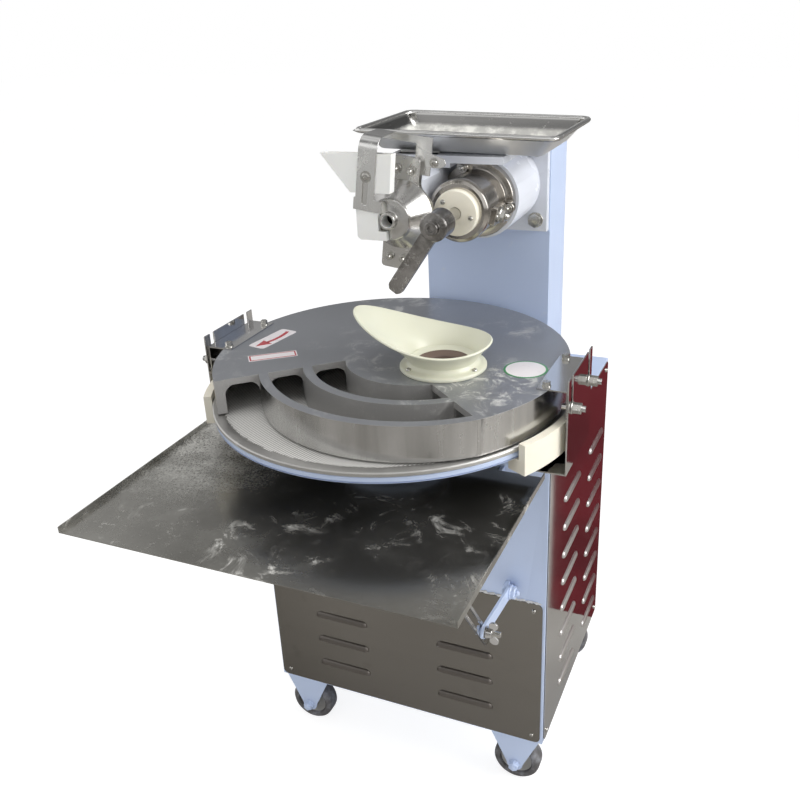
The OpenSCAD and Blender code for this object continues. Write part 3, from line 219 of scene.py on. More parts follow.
# Enamel paint: slight mottling, orange peel and a little flour dust
def enamel(name, colour, rough=0.34, dust=0.10):
    f = Finish(name, Coat_Roughness=0.18, Specular_IOR_Level=0.5)
    cloud, fine = f.noise(7, 5), f.noise(260, 2)
    marks = f.noise(28, 6, rough=0.7).ramp(0.60, 0.80)
    base = f.tint(cloud, shade(colour, 0.93), shade(colour, 1.05))
    base = f.tint(marks * dust * 4, base, FLOUR)
    return f.set(Base_Color=base, Roughness=rough + (cloud - 0.5) * 0.14 + marks * 0.2, Coat_Weight=0.35,
                 Normal=f.bump(fine * 0.5 + cloud, 0.06, 0.0006))


# Sheet or turned metal: streaks along one direction, smudges and fine scratches
def metal(name, colour, rough, stretch, streak, smudge, flour=0.0, bump=0.05):
    f = Finish(name, Metallic=1.0)
    lines = f.noise(60, 5, stretch, 0.6)
    smear = f.noise(9, 6, rough=0.62)
    grime = f.noise(34, 4).ramp(0.58, 0.85)
    base = f.tint(lines, shade(colour, 1 - streak), shade(colour, 1 + streak))
    base = f.tint(grime * 0.2, base, shade(colour, 0.35))
    depth = rough + (lines - 0.5) * streak * 1.2 + (smear - 0.5) * smudge * 2
    if flour:
        dust = f.noise(16, 8, rough=0.72).ramp(0.56, 0.82) * flour
        base = f.tint(dust, base, FLOUR)
        depth = depth + dust * 0.5
        f.set(Metallic=1 - dust)
    return f.set(Base_Color=base, Roughness=depth, Normal=f.bump(lines + smear * 0.4, bump, 0.0004))


# Plain moulded or sawn plastic
def plastic(name, colour, rough, mark=0.06, grain=90):
    f = Finish(name, Subsurface_Weight=0.08, Subsurface_Radius=(0.01, 0.008, 0.005))
    cloud, fine = f.noise(11, 5), f.noise(grain, 3)
    stain = f.noise(24, 6, rough=0.7).ramp(0.58, 0.86)
    base = f.tint(cloud, shade(colour, 1 - mark), shade(colour, 1 + mark * 0.5))
    base = f.tint(stain * 0.35, base, shade(colour, 0.78))
    return f.set(Base_Color=base, Roughness=rough + (cloud - 0.5) * 0.16, Normal=f.bump(fine, 0.06, 0.0005))


def rubber(name, colour):
    f = Finish(name)
    cloud, fine = f.noise(30, 5), f.noise(420, 2)
    base = f.tint(cloud, shade(colour, 0.7), shade(colour, 1.2))
    dust = f.noise(60, 5).ramp(0.45, 0.75)
    base = f.tint(dust * 0.45, base, (0.40, 0.41, 0.45))
    return f.set(Base_Color=base, Roughness=0.62 + cloud * 0.2, Normal=f.bump(fine, 0.15, 0.0005))


# Sanded casting with circular marks about the disc's axis, flour smears and pits
def sanded(name, colour, rough=0.40, flour=0.75, pits=0.2):
    f = Finish(name)
    centre = tuple(-c for c in spot(0, DISC_Y, 0))
    x, y = f.axis("X", centre), f.axis("Y", centre)
    ring = (x * x + y * y) ** 0.5
    scratch = f.noise(420, 3, (1, 0.12, 1)) * 0.6 + (ring * 5200).wave() * 0.06
    cloud = f.noise(6, 6, rough=0.65)
    fine = f.noise(900, 2)
    dusted = tuple(-c for c in spot(165, -55, 0))
    east, north = f.axis("X", dusted), f.axis("Y", dusted)
    near = 1 - ((east * east + north * north) ** 0.5).ramp(0.03, 0.13)
    smear = f.noise(34, 9, rough=0.75, bend=0.8).ramp(0.50, 0.62)
    smear = smear * (near * 0.85 + f.noise(5, 3).ramp(0.50, 0.66) * 0.45)
    base = f.tint(cloud * 0.7 + scratch * 0.3, shade(colour, 0.84), shade(colour, 1.14))
    base = f.tint(fine.ramp(0.62, 0.75) * pits, base, shade(colour, 1.7))
    base = f.tint(smear * flour, base, FLOUR)
    return f.set(Base_Color=base, Roughness=rough + (cloud - 0.5) * 0.2 + smear * 0.2,
                 Metallic=0.72 - smear * flour * 0.72, Normal=f.bump(scratch + fine * 0.4, 0.10, 0.0004))


# Tray: dark polished sheet with wisps and grains of flour
def tray_sheet():
    f = Finish("tray_sheet")
    front = spot(0, -330, 0).y
    y = f.axis("Y")
    near = (y - front) / -0.33
    warp = f.noise(5, 3)
    patch = f.noise(8, 4).ramp(0.42, 0.60)
    smear = f.noise(15, 9, rough=0.74, bend=1.7).ramp(0.53, 0.68) * patch
    speck = f.noise(110, 6, rough=0.8).ramp(0.58, 0.74)
    grain = f.noise(330, 5, rough=0.85).ramp(0.44, 0.60)
    left = (f.axis("X") * -1).ramp(0.02, 0.24)
    deep = (y - front).ramp(0.06, 0.22) * (0.35 + f.noise(12, 6, rough=0.65).ramp(0.38, 0.60) * 0.65)
    cloud = f.noise(4, 5)
    film = f.noise(8, 6, rough=0.6).ramp(0.35, 0.8)
    base = f.tint(cloud, (0.15, 0.145, 0.13), (0.27, 0.26, 0.235))
    dust = smear * 0.7 + speck * 0.12 + left * (speck * 0.4 + deep * (0.22 + grain * 0.60) + 0.08)
    dust = (dust + film * 0.10 + 0.10).low(0.85)
    base = f.tint(dust, base, (0.80, 0.79, 0.75))
    return f.set(Base_Color=base, Metallic=1 - dust * 0.9,
                 Roughness=0.16 + film * 0.12 + dust * 0.5 + near * 0.10,
                 Normal=f.bump(smear + speck * 0.5 + warp * 0.2, 0.05, 0.0005))


# Hopper sheet: polished walls under a rolled rim painted lighter as a highlight, with flour left along the
# floor
def pan_sheet():
    f = Finish("pan_stainless")
    lines, smear = f.noise(60, 5, (0.03, 1, 1), 0.6), f.noise(9, 6, rough=0.62)
    level = f.axis("Z") + (f.axis("X") - spot(PAN_X, 0, 0).x) * 0.0244
    low = 1 - (level + (smear - 0.5) * 0.006).ramp(0.9815, 0.9885)
    dust = low * (0.45 + f.noise(40, 8, rough=0.7).ramp(0.42, 0.62) * 0.5)
    dust = (dust + f.noise(70, 6, rough=0.75).ramp(0.62, 0.74) * 0.35).low(0.9)
    base = f.tint(lines, (0.30, 0.295, 0.287), (0.38, 0.375, 0.367))
    # painted highlight: the rolled rim's band is tinted lighter than the walls
    base = f.tint(level.ramp(0.9960, 0.9985) * 0.9, base, (0.80, 0.795, 0.78))
    base = f.tint(dust, base, FLOUR)
    return f.set(Base_Color=base, Metallic=1 - dust, Roughness=0.21 + (smear - 0.5) * 0.14 + dust * 0.45,
                 Normal=f.bump(lines + smear * 0.4, 0.05, 0.0004))


# Dark worn knife steel
def knife_steel():
    f = Finish("knife_steel")
    cloud, fine = f.noise(22, 7, rough=0.7), f.noise(240, 3)
    worn = f.noise(55, 6, rough=0.7).ramp(0.52, 0.70)
    end = 1 - f.axis("Z").ramp(0.815, 0.875)
    flour = f.noise(120, 7, rough=0.8, bend=0.6).ramp(0.54, 0.66) * (0.12 + end * 0.55)
    base = f.tint(cloud.ramp(0.30, 0.70), (0.13, 0.122, 0.115), (0.48, 0.465, 0.45))
    base = f.tint(worn * 0.45, base, (0.56, 0.54, 0.51))
    base = f.tint(flour, base, FLOUR)
    return f.set(Base_Color=base, Metallic=1 - flour,
                 Roughness=0.12 + cloud * 0.2 + worn * 0.1 + flour * 0.4,
                 Normal=f.bump(fine * 0.3 + cloud, 0.10, 0.0006))


# Knurled turntable: painted shade in the grooves and painted highlight on the points, set by height, under
# random flour clouds
def knurl():
    f = Finish("knurled_plate")
    cloud, fine = f.noise(8, 6), f.noise(300, 3)
    z = f.axis("Z")
    # painted shade and highlight: grooves dark, raised points light, by height
    point = ((z - spot(0, 0, TABLE_TOP).z) / 0.0013).ramp(-1.0, -0.15)
    base = f.tint(point, (0.34, 0.33, 0.31), (0.93, 0.92, 0.89))
    base = f.tint(cloud.ramp(0.45, 0.75) * 0.25, base, (0.80, 0.79, 0.75))
    return f.set(Base_Color=base, Metallic=0.35, Roughness=0.5 + fine * 0.1,
                 Normal=f.bump(fine, 0.08, 0.0003))


def sticker(name, colour, edge):
    f = Finish(name, Coat_Roughness=0.1)
    wear = f.noise(120, 5).ramp(0.55, 0.8)
    base = f.tint(wear * 0.3, colour, edge)
    return f.set(Base_Color=base, Roughness=0.32 + wear * 0.2, Coat_Weight=0.4)


def make_finishes():
    up, across, deep = (1, 1, 0.03), (0.03, 1, 1), (1, 0.03, 1)
    return {
        "blue": enamel("blue_enamel", (0.55, 0.645, 0.85)),
        "white": enamel("white_enamel", (0.71, 0.735, 0.80), 0.26, 0.16),
        # painted reflection: the front sheet's steel is darkened and browned to show the dim room it mirrors
        "front": metal("front_stainless_painted_dark", (0.235, 0.222, 0.202), 0.24, across, 0.05, 0.05, 0.02),
        "side": metal("side_polish", (0.62, 0.61, 0.60), 0.07, up, 0.02, 0.03, 0, 0.008),
        # painted shade: the louvre hoods are darker copies of their panels' steel
        "front_hood": metal("front_louvre_painted_shade", (0.17, 0.155, 0.142), 0.40, across, 0.05, 0.05),
        "side_hood": metal("side_louvre_painted_shade", (0.56, 0.54, 0.53), 0.34, across, 0.05, 0.05),
        "edge": metal("plate_edge", (0.60, 0.59, 0.57), 0.48, (1, 1, 1), 0.12, 0.08, 0.6),
        "pan": pan_sheet(),
        # painted light: the pan sheet's second face is a far lighter copy of its steel
        "under": metal("pan_underside_painted_light", (0.80, 0.80, 0.79), 0.50, across, 0.05, 0.05, 0.35),
        "polish": metal("polished_steel", (0.68, 0.67, 0.65), 0.20, up, 0.05, 0.05, 0.06),
        "strap": metal("strap_steel", (0.78, 0.775, 0.76), 0.22, up, 0.07, 0.09, 0.45),
        "drum": metal("drum_steel", (0.47, 0.445, 0.41), 0.17, deep, 0.08, 0.06, 0.05),
        "bell": metal("bell_steel", (0.60, 0.59, 0.57), 0.25, deep, 0.08, 0.08, 0.55),
        "plate": metal("hanger_steel", (0.58, 0.575, 0.57), 0.13, across, 0.04, 0.05, 0.05),
        "bolt": metal("bolt_steel", (0.52, 0.51, 0.48), 0.26, (1, 1, 1), 0.10, 0.06, 0.08),
        "turned": metal("turned_steel", (0.55, 0.54, 0.52), 0.24, deep, 0.08, 0.05),
        "bead": enamel("weld_bead_paint", (0.66, 0.66, 0.66), 0.5, 0.3),
        "rim": metal("machined_rim", (0.52, 0.515, 0.505), 0.21, up, 0.24, 0.15, 0.10),
        "worn": metal("worn_edge", (0.60, 0.59, 0.57), 0.34, (1, 1, 1), 0.12, 0.08, 0.1),
        "cover": sanded("sanded_cover", (0.35, 0.36, 0.385)),
        "channel": sanded("cast_channel", (0.42, 0.415, 0.41), 0.50, 0.30, 0.5),
        "casting": metal("cast_aluminium", (0.50, 0.50, 0.50), 0.42, (1, 1, 1), 0.08, 0.06),
        "knurl": knurl(),
        "knife": knife_steel(),
        "tray": tray_sheet(),
        "nylon": plastic("cream_nylon", (0.82, 0.775, 0.655), 0.46),
        "ivory": plastic("ivory_plastic", (0.74, 0.74, 0.60), 0.30, 0.05, 60),
        # painted shade: dark brown ring inside the funnel's throat
        "throat": plastic("throat_painted_shade", (0.17, 0.12, 0.095), 0.5),
        "flour": plastic("white_plastic", (0.86, 0.86, 0.835), 0.44),
        "wheel": rubber("wheel_rubber", (0.105, 0.10, 0.10)),
        "belt": rubber("belt_rubber", (0.03, 0.03, 0.03)),
        "gland": plastic("gland_plastic", (0.03, 0.03, 0.032), 0.4),
        "red": sticker("red_mark", (0.42, 0.02, 0.03), (0.55, 0.2, 0.2)),
        "label": sticker("pale_label", (0.74, 0.70, 0.71), (0.6, 0.5, 0.5)),
        "green": sticker("green_ring", (0.05, 0.26, 0.09), (0.3, 0.4, 0.3)),
    }


# Shapes
def joined(*made):
    whole = bmesh.new()
    for part in made:
        mesh = bpy.data.meshes.new("part")
        part.to_mesh(mesh)
        part.free()
        whole.from_mesh(mesh)
        bpy.data.meshes.remove(mesh)
    return whole


def placed(shape, *matrices):
    for matrix in reversed(matrices):
        bmesh.ops.transform(shape, matrix=matrix, verts=shape.verts)
    return shape


def tidy(shape):
    bmesh.ops.remove_doubles(shape, verts=shape.verts, dist=0.002)
    bmesh.ops.recalc_face_normals(shape, faces=shape.faces)
    return shape


def corners(geometry):
    return [g for g in geometry if isinstance(g, bmesh.types.BMVert)]


def second_finish(shape):
    for face in shape.faces:
        face.material_index = 1
    return shape


def round_corners(shape, radius, segments):
    bmesh.ops.bevel(shape, geom=list(shape.verts), affect="VERTICES", offset=radius, segments=segments,
                    profile=0.5, material=-1)


# Cuts a shape by a plane, and takes off what lies beyond the plane if asked
def cut(shape, point, normal, clear=False):
    geometry = shape.verts[:] + shape.edges[:] + shape.faces[:]
    bmesh.ops.bisect_plane(shape, geom=geometry, plane_co=point, plane_no=normal, clear_outer=clear)


# A round shape about Z from its section of radius and height
def turned(section, steps):
    shape = bmesh.new()
    points = [shape.verts.new((r, 0, z)) for r, z in section]
    lines = [shape.edges.new(pair) for pair in zip(points, points[1:])]
    bmesh.ops.spin(shape, geom=points + lines, cent=(0, 0, 0), axis=(0, 0, 1), angle=2 * math.pi,
                   steps=steps, use_merge=True)
    return tidy(shape)


# A plate on Z zero from its outline, corners rounded by radius
def slab(outline, depth, radius=0.0, segments=5):
    shape = bmesh.new()
    face = shape.faces.new([shape.verts.new((x, y, 0)) for x, y in outline])
    if radius:
        round_corners(shape, radius, segments)
        face = shape.faces[:][0]
    grown = bmesh.ops.extrude_face_region(shape, geom=[face])["geom"]
    bmesh.ops.translate(shape, vec=(0, 0, depth), verts=corners(grown))
    return tidy(shape)


def block(low, high):
    shape = bmesh.new()
    bmesh.ops.create_cube(shape, size=1)
    size = [h - l for l, h in zip(low, high)]
    middle = [(h + l) / 2 for l, h in zip(low, high)]
    return placed(shape, move(*middle), Matrix.Diagonal((*size, 1)))


def rectangle(width, height):
    x, y = width / 2, height / 2
    return [(-x, -y), (x, -y), (x, y), (-x, y)]


# Fasteners, standing on Z zero
def dome_screw(radius, height):
    section = ((0, 0.55), (0.24, 0.55), (0.32, 1), (0.55, 0.98), (0.86, 0.66), (1, 0.2), (1, 0), (0, 0))
    return turned([(radius * r, height * z) for r, z in section], 24)


def hexagon(radius, height):
    shape = bmesh.new()
    bmesh.ops.create_cone(shape, cap_ends=True, segments=6, radius1=radius, radius2=radius, depth=height)
    placed(shape, move(0, 0, height / 2))
    top = max(shape.faces, key=lambda f: f.calc_center_median().z)
    bmesh.ops.inset_individual(shape, faces=[top], thickness=radius * 0.10, depth=height * 0.10)
    return shape


def washer(radius, hole, height):
    ease = height * 0.3
    return turned([(hole, 0), (radius, 0), (radius, height - ease), (radius - ease, height), (hole, height),
                   (hole, 0)], 32)


def hex_bolt(head, shank, stub=0.0):
    made = [washer(head * 1.1, shank * 0.5, 1.5), placed(hexagon(head, shank * 1.45), move(0, 0, 1.5))]
    if stub:
        made.append(placed(thread(shank, stub), move(0, 0, 1.5 + shank * 1.45)))
    return joined(*made)


def thread(radius, length):
    pitch, root = 1.25, radius * 0.88
    section, z = [(0, 0), (root, 0)], 0.0
    while z < length - pitch:
        section += [(radius, z + pitch * 0.5), (root, z + pitch)]
        z += pitch
    return turned(section + [(radius * 0.7, length), (0, length)], 20)


FACE_FRONT, FACE_BACK = turn(90, "X"), turn(-90, "X")
FACE_RIGHT, FACE_LEFT = turn(90, "Y"), turn(-90, "Y")


def object_of(shape, name):
    mesh = bpy.data.meshes.new(name)
    shape.to_mesh(mesh)
    shape.free()
    made = bpy.data.objects.new(name, mesh)
    bpy.context.scene.collection.objects.link(made)
    return made


# Makes a piece of the machine from a shape
def piece(shape, name, body, finish, stands_for=(), angle=35, unit=TO_PART):
    if unit:
        placed(shape, unit)
    made = object_of(shape, name)
    made.data.shade_smooth()
    made.data.set_sharp_from_angle(angle=math.radians(angle))
    for f in (finish if isinstance(finish, list) else [finish]):
        made.data.materials.append(FINISH[f])
    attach(made, body)
    if stands_for:
        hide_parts(*stands_for)
    return made


def eased(made, width, segments=2, angle=32):
    bevel = made.modifiers.new("eased_edges", "BEVEL")
    bevel.width, bevel.segments = width / 1000, segments
    bevel.limit_method, bevel.angle_limit = "ANGLE", math.radians(angle)
    bevel.harden_normals = True
    bevel.miter_outer = "MITER_ARC"
    return made


def smoothed(made, levels):
    surface = made.modifiers.new("smooth_form", "SUBSURF")
    surface.levels = surface.render_levels = levels


def walled(made, thickness, offset=-1, back_finish=0):
    wall = made.modifiers.new("wall", "SOLIDIFY")
    wall.thickness, wall.offset, wall.use_even_offset = thickness / 1000, offset, True
    wall.material_offset = back_finish


# A CAD node's form with its sharp edges eased
def from_node(node):
    shape = bmesh.new()
    shape.from_mesh(frame["nodes"][node].data)
    bmesh.ops.remove_doubles(shape, verts=shape.verts, dist=2e-5)
    bmesh.ops.dissolve_limit(shape, angle_limit=math.radians(0.4), verts=shape.verts, edges=shape.edges)
    return shape


def body_of(node):
    return next(b for b, members in frame["record"]["behaviour"]["bodies"].items() if node in members)


def ease_node(node, finish, width, segments=2):
    made = piece(from_node(node), node + "_form", body_of(node), finish, (node,), unit=None)
    return eased(made, width, segments)


# Cabinet
def louvre(depth, height):
    shape = bmesh.new()
    bmesh.ops.create_uvsphere(shape, u_segments=32, v_segments=24, radius=1)
    placed(shape, turn(90, "Y"))
    for v in shape.verts:
        side = 1 if v.co.x > 0 else -1
        reach = min(1.0, abs(v.co.x))
        x = side * (LOUVRE_LONG / 2 - height + height * reach) if reach > 0.02 else 0
        v.co = (x, v.co.y * depth, v.co.z * height)
    for plane in ((0, 1, 0), (0, 0, -1)):
        cut(shape, (0, 0, 0), plane, True)
    bmesh.ops.solidify(shape, geom=shape.faces[:], thickness=0.9)
    return tidy(shape)


# A sheet in X and Z with rounded corners and openings behind its louvres, its back at Y zero
def louvred_sheet(width, head, places, height, rise):
    shape = bmesh.new()
    tall, corner = head - SHEET_FOOT, 9
    half = LOUVRE_LONG / 2 - height * 0.5
    shape.faces.new([shape.verts.new((x, 0, SHEET_FOOT + tall / 2 + z)) for x, z in rectangle(width, tall)])
    round_corners(shape, corner, 6)
    cuts_x = {x + s * half for x, z in places for s in (-1, 1)}
    cuts_z = {z + d for x, z in places for d in (0, height * 0.55)}
    for axis, cuts in (((1, 0, 0), cuts_x), ((0, 0, 1), cuts_z)):
        for place in sorted(cuts):
            cut(shape, [place * a for a in axis], axis)
    gone = []
    for face in shape.faces:
        c = face.calc_center_median()
        if any(abs(c.x - x) < half and 0 < c.z - z < height * 0.55 for x, z in places):
            gone.append(face)
    bmesh.ops.delete(shape, geom=gone, context="FACES")
    grown = bmesh.ops.extrude_face_region(shape, geom=shape.faces[:])["geom"]
    bmesh.ops.translate(shape, vec=(0, -SHEET, 0), verts=corners(grown))
    tidy(shape)
    hoods = [placed(louvre(rise, height), move(x, -SHEET, z)) for x, z in places]
    return joined(shape, *(second_finish(hood) for hood in hoods))


def make_cabinet():
    ease_node("frame", "blue", 1.2)
    reach = 0.9
    front = [(s * 106 + reach, 144 + LOUVRE_STEP * k) for s in (-1, 1) for k in range(3)]
    sheet = placed(louvred_sheet(457.8, FRONT_HEAD, front, 9, 4.6), move(-reach, 0, 0))
    made = piece(sheet, "front_panel_sheet", BASE, ["front", "front_hood"], ("front_panel",))
    eased(made, 0.5)
    places = [(y - SIDE_MIDDLE, 140 + LOUVRE_STEP * k) for y in (135, 292) for k in range(8)]
    for side, node in ((1, "side_panel_r"), (-1, "side_panel_l")):
        sheet = louvred_sheet(355, SIDE_HEAD, places, 8, 3.0)
        placed(sheet, move(side * SIDE_X, SIDE_MIDDLE, 0), turn(90 * side, "Z"))
        eased(piece(sheet, node + "_sheet", BASE, ["side", "side_hood"], (node,)), 0.5)
    ease_node("back_panel", "front", 0.5)
    # painted shade: thin black strips stand in for the shaded gaps between frame and side panels at the front
    # corners
    seam_x, half = SIDE_X + 0.2, 0.15
    shade_strips = [block((s * seam_x - half, 3.2, SHEET_FOOT + 1), (s * seam_x + half, 4.9, SIDE_HEAD - 1))
             for s in (-1, 1)]
    piece(joined(*shade_strips), "panel_seam_shade", BASE, "gland")
    places = []
    for s, outward in ((-1, FACE_LEFT), (1, FACE_RIGHT)):
        for z in (13, 249):
            places.append((move(s * 215, -SHEET, SHEET_FOOT + z), FACE_FRONT))
        for z in (13, 491):
            places.append((move(s * 215, BACK_Y + SHEET, SHEET_FOOT + z), FACE_BACK))
            for y in (18, 347):
                places.append((move(s * (SIDE_X + SHEET), y, SHEET_FOOT + z), outward))
    screws = [placed(dome_screw(3.6, 2.4), *place) for place in places]
    piece(joined(*screws), "panel_screw_heads", BASE, "bolt", ("panel_screws",))
    ease_node("cable_gland", "gland", 0.8)
    beads = []
    for k in range(30):
        bead = bmesh.new()
        bmesh.ops.create_uvsphere(bead, u_segments=10, v_segments=6, radius=1)
        size = 2.0 + 0.9 * math.sin(k * 2.3) + 0.4 * math.sin(k * 5.1)
        beads.append(placed(bead, move(104 + 4.1 * k, -0.4, 361.6 + 0.7 * math.sin(k * 1.7)),
                            Matrix.Diagonal((3.4, 1.4, size, 1))))
    piece(joined(*beads), "weld_bead", BASE, "bead")


def make_casters():
    for corner, x, y in (("fl", -187, 2), ("fr", 187, 2), ("rl", -187, 319), ("rr", 187, 319)):
        ease_node("caster_fork_" + corner, "blue", 1.2)
        tyre = turned([(25.5, 3), (27, 0.6), (30, 0), (34.5, 1.6), (36.9, 4.5), (WHEEL_R, 8), (WHEEL_R, 22),
                       (36.9, 25.5), (34.5, 28.4), (30, 30), (27, 29.4), (25.5, 27), (25.5, 3)], 64)
        hub = turned([(5.05, -3.6), (9, -3.6), (10.5, -2.4), (11, 4), (13, 6), (21, 7), (25.5, 5), (25.5, 25),
                      (21, 23), (13, 24), (11, 26), (10.5, 32.4), (9, 33.6), (5.05, 33.6), (5.05, -3.6)], 48)
        wheel = placed(joined(tyre, second_finish(hub)), move(x, y + 7, WHEEL_R), FACE_BACK)
        piece(wheel, "caster_tyre_" + corner, "wheel_" + corner, ["wheel", "casting"],
              ("caster_wheel_" + corner,))
        ends = [placed(hex_bolt(8, 5, 3), move(x, y + d, WHEEL_R), face)
                for d, face in ((-0.4, FACE_FRONT), (44.4, FACE_BACK))]
        piece(joined(*ends), "axle_nuts_" + corner, BASE, "blue")


# Rounding disc
def make_turntable():
    plate = turned([(0, 660.8), (250, 661), (251, 662), (251, 665.6), (249.6, TABLE_TOP), (238, TABLE_TOP),
                    (236.6, 666.3), (229, 666.1), (227, 665.4), (0, 665.4)], 160)
    placed(plate, move(0, DISC_Y, 0))
    piece(plate, "turntable_rim", "turntable", "edge", ("turntable_plate",))
    pitch, reach, tall = 2.7, 237.4, 1.25
    count = int(2 * reach / pitch) // 2 * 2
    points = bmesh.new()
    bmesh.ops.create_grid(points, x_segments=count, y_segments=count, size=reach)
    step = 2 * reach / count
    for v in points.verts:
        odd = (round((v.co.x + reach) / step) + round((v.co.y + reach) / step)) % 2
        v.co.z = tall if odd else 0.0
    bmesh.ops.delete(points, geom=[v for v in points.verts if v.co.xy.length > reach], context="VERTS")
    placed(points, move(0, DISC_Y, TABLE_TOP - 1.3), turn(28, "Z"))
    piece(points, "turntable_knurl", "turntable", "knurl", angle=180)
    base = turned([(0, 652), (247, 652), (249, 654), (249, 659), (248, 660.6), (0, 660.6)], 160)
    placed(base, move(0, DISC_Y, 0))
    hub = from_node("turntable_base")
    hub_top = 0.6525
    cut(hub, (0, 0, hub_top), (0, 0, 1), True)
    placed(hub, TO_PART.inverted())
    piece(joined(base, hub), "turntable_underside", "turntable", "blue", ("turntable_base",))
    for finish, nodes in (("turned", ("turntable_pulley", "motor_pulley", "gearbox_shaft", "pivot_post")),
                          ("casting", ("gearbox", "rounder_motor")), ("blue", ("deck_plate",)),
                          ("belt", ("drive_belt",))):
        for node in nodes:
            ease_node(node, finish, 1.0)


def make_cover():
    made = ease_node("cover_disc", ["cover", "rim", "channel", "worn"], 1.5, 3)
    made.modifiers["eased_edges"].material = 3
    middle, shifted = spot(0, DISC_Y, 0), spot(39.75, DISC_Y, 0)
    rim_radius, spiral_radius = 0.240, 0.210
    for f in made.data.polygons:
        c, n = f.center, f.normal
        radius = math.hypot(c.x - middle.x, c.y - middle.y)
        spiral = math.hypot(c.x - shifted.x, c.y - shifted.y)
        outward = n.x * (c.x - shifted.x) + n.y * (c.y - shifted.y) > 0
        if abs(n.z) < 0.5:
            f.material_index = 1 if radius > rim_radius or (outward and spiral > spiral_radius) else 2
        elif n.z < -0.5:
            f.material_index = 2
    arches, bow, mouth, channel = [], 15, 221, 47
    outline = [(0, 0), (bow, 0)] + [(bow - bow * math.sin(a), bow - bow * math.cos(a))
                                    for a in (math.radians(11.25 * k) for k in range(1, 9))]
    for inner in (185, 125, 65):
        for radius, side in ((inner + channel, -1), (inner, 1)):
            web = slab([(x * side, -y) for x, y in outline], 12)
            x, y = around(mouth, radius)
            arches.append(placed(web, move(x, y + DISC_Y, 708), turn(mouth, "Z"), FACE_FRONT))
    piece(tidy(joined(*arches)), "channel_arches", "cover", "channel")


# Funnel: turned foot, flaring wall and a scoop whose rim rises to the left
def scoop_point(share, t):
    neck, low, phi = 46.0, 729.0, math.radians(186.5)
    long, short = 121.6, 66.3
    s = (long - short) / 2 + (long + short) / 2 * math.cos(t)
    v = 66.0 * math.sin(t) * (1 - 0.175 * math.cos(t))
    rim_z = 752.0 + 0.094 * s + 0.00185 * s * s
    flat = share ** 1.3
    s = neck * math.cos(t) + (s - neck * math.cos(t)) * flat
    v = neck * math.sin(t) + (v - neck * math.sin(t)) * flat
    x = FUNNEL_X + s * math.cos(phi) - v * math.sin(phi)
    y = FUNNEL_Y + s * math.sin(phi) + v * math.cos(phi)
    return x, y, low + (rim_z - low) * share


def make_funnel():
    shape = bmesh.new()
    before = None
    for share in (0.0, 0.16, 0.36, 0.58, 0.8, 1.0):
        ring = bmesh.ops.create_circle(shape, segments=56, radius=1)["verts"]
        lines = {e for v in ring for e in v.link_edges}
        for v in ring:
            v.co = scoop_point(share, math.atan2(v.co.y, v.co.x))
        if before:
            bmesh.ops.bridge_loops(shape, edges=list(before | lines))
        before = lines
    tidy(shape)
    centre = Vector((FUNNEL_X, FUNNEL_Y, 740))
    inward = sum((f.calc_center_median() - centre).dot(f.normal) for f in shape.faces)
    if inward < 0:
        bmesh.ops.reverse_faces(shape, faces=shape.faces)
    wall = piece(shape, "funnel_scoop", "cover", "ivory", ("funnel",), angle=60)
    walled(wall, 3.4)
    eased(wall, 1.2, 3, 50)
    smoothed(wall, 1)
    foot = turned([(22.5, COVER_TOP), (57, COVER_TOP), (58, 718), (58, 721), (56.6, 722.8), (51, 723.2),
                   (48.4, 724.4), (46.8, 727), (46, 730), (43, 731), (40, 728), (36, 726.4), (30, 725.0),
                   (24, 724), (22.5, 722), (22.5, COVER_TOP)], 72)
    # painted shade: the foot's inner ring is darkened so the throat reads as a wider dark hole
    for f in foot.faces:
        middle = f.calc_center_median()
        f.material_index = 1 if middle.xy.length < 36 and middle.z > 719 else 0
    placed(foot, move(FUNNEL_X, FUNNEL_Y, 0))
    piece(foot, "funnel_foot", "cover", ["ivory", "throat"], angle=50)
    screws = []
    for a in (-130, -17, 104):
        x, y = around(a, 51.5)
        screws.append(placed(dome_screw(3.8, 2.8), move(FUNNEL_X + x, FUNNEL_Y + y, 723)))
    for sx in (-1, 1):
        for sy in (-1, 1):
            screws.append(placed(hex_bolt(5.2, 3.2), move(sx * 234, DISC_Y + sy * 48, 719)))
    piece(joined(*screws), "cover_screw_heads", "cover", "bolt", ("cover_screws",))


def make_hangers():
    for mark in ("r", "l"):
        ease_node("hanger_" + mark, "plate", 0.6)
        ease_node("bracket_" + mark, "side", 0.5)
        ease_node("guide_block_" + mark, "nylon", 1.0)
    rods, nuts = [], []
    for s, face in ((1, FACE_RIGHT), (-1, FACE_LEFT)):
        for y in (-1, 1):
            nut = joined(washer(8.4, 4.1, 1.5), placed(hexagon(7.2, 6.2), move(0, 0, 1.5)),
                         placed(hexagon(7.2, 4.0), move(0, 0, 8.2)))
            nuts.append(placed(nut, move(s * 266.3, DISC_Y + y * STUD_Y, STUD_Z), face))
            rods.append(placed(thread(4.12, 6.6), move(s * 277, DISC_Y + y * STUD_Y, STUD_Z), face))
    piece(joined(*nuts), "hanger_stud_nuts", "cover", "bolt", ("hanger_nuts",))
    piece(joined(*rods), "hanger_stud_threads", "cover", "bolt")


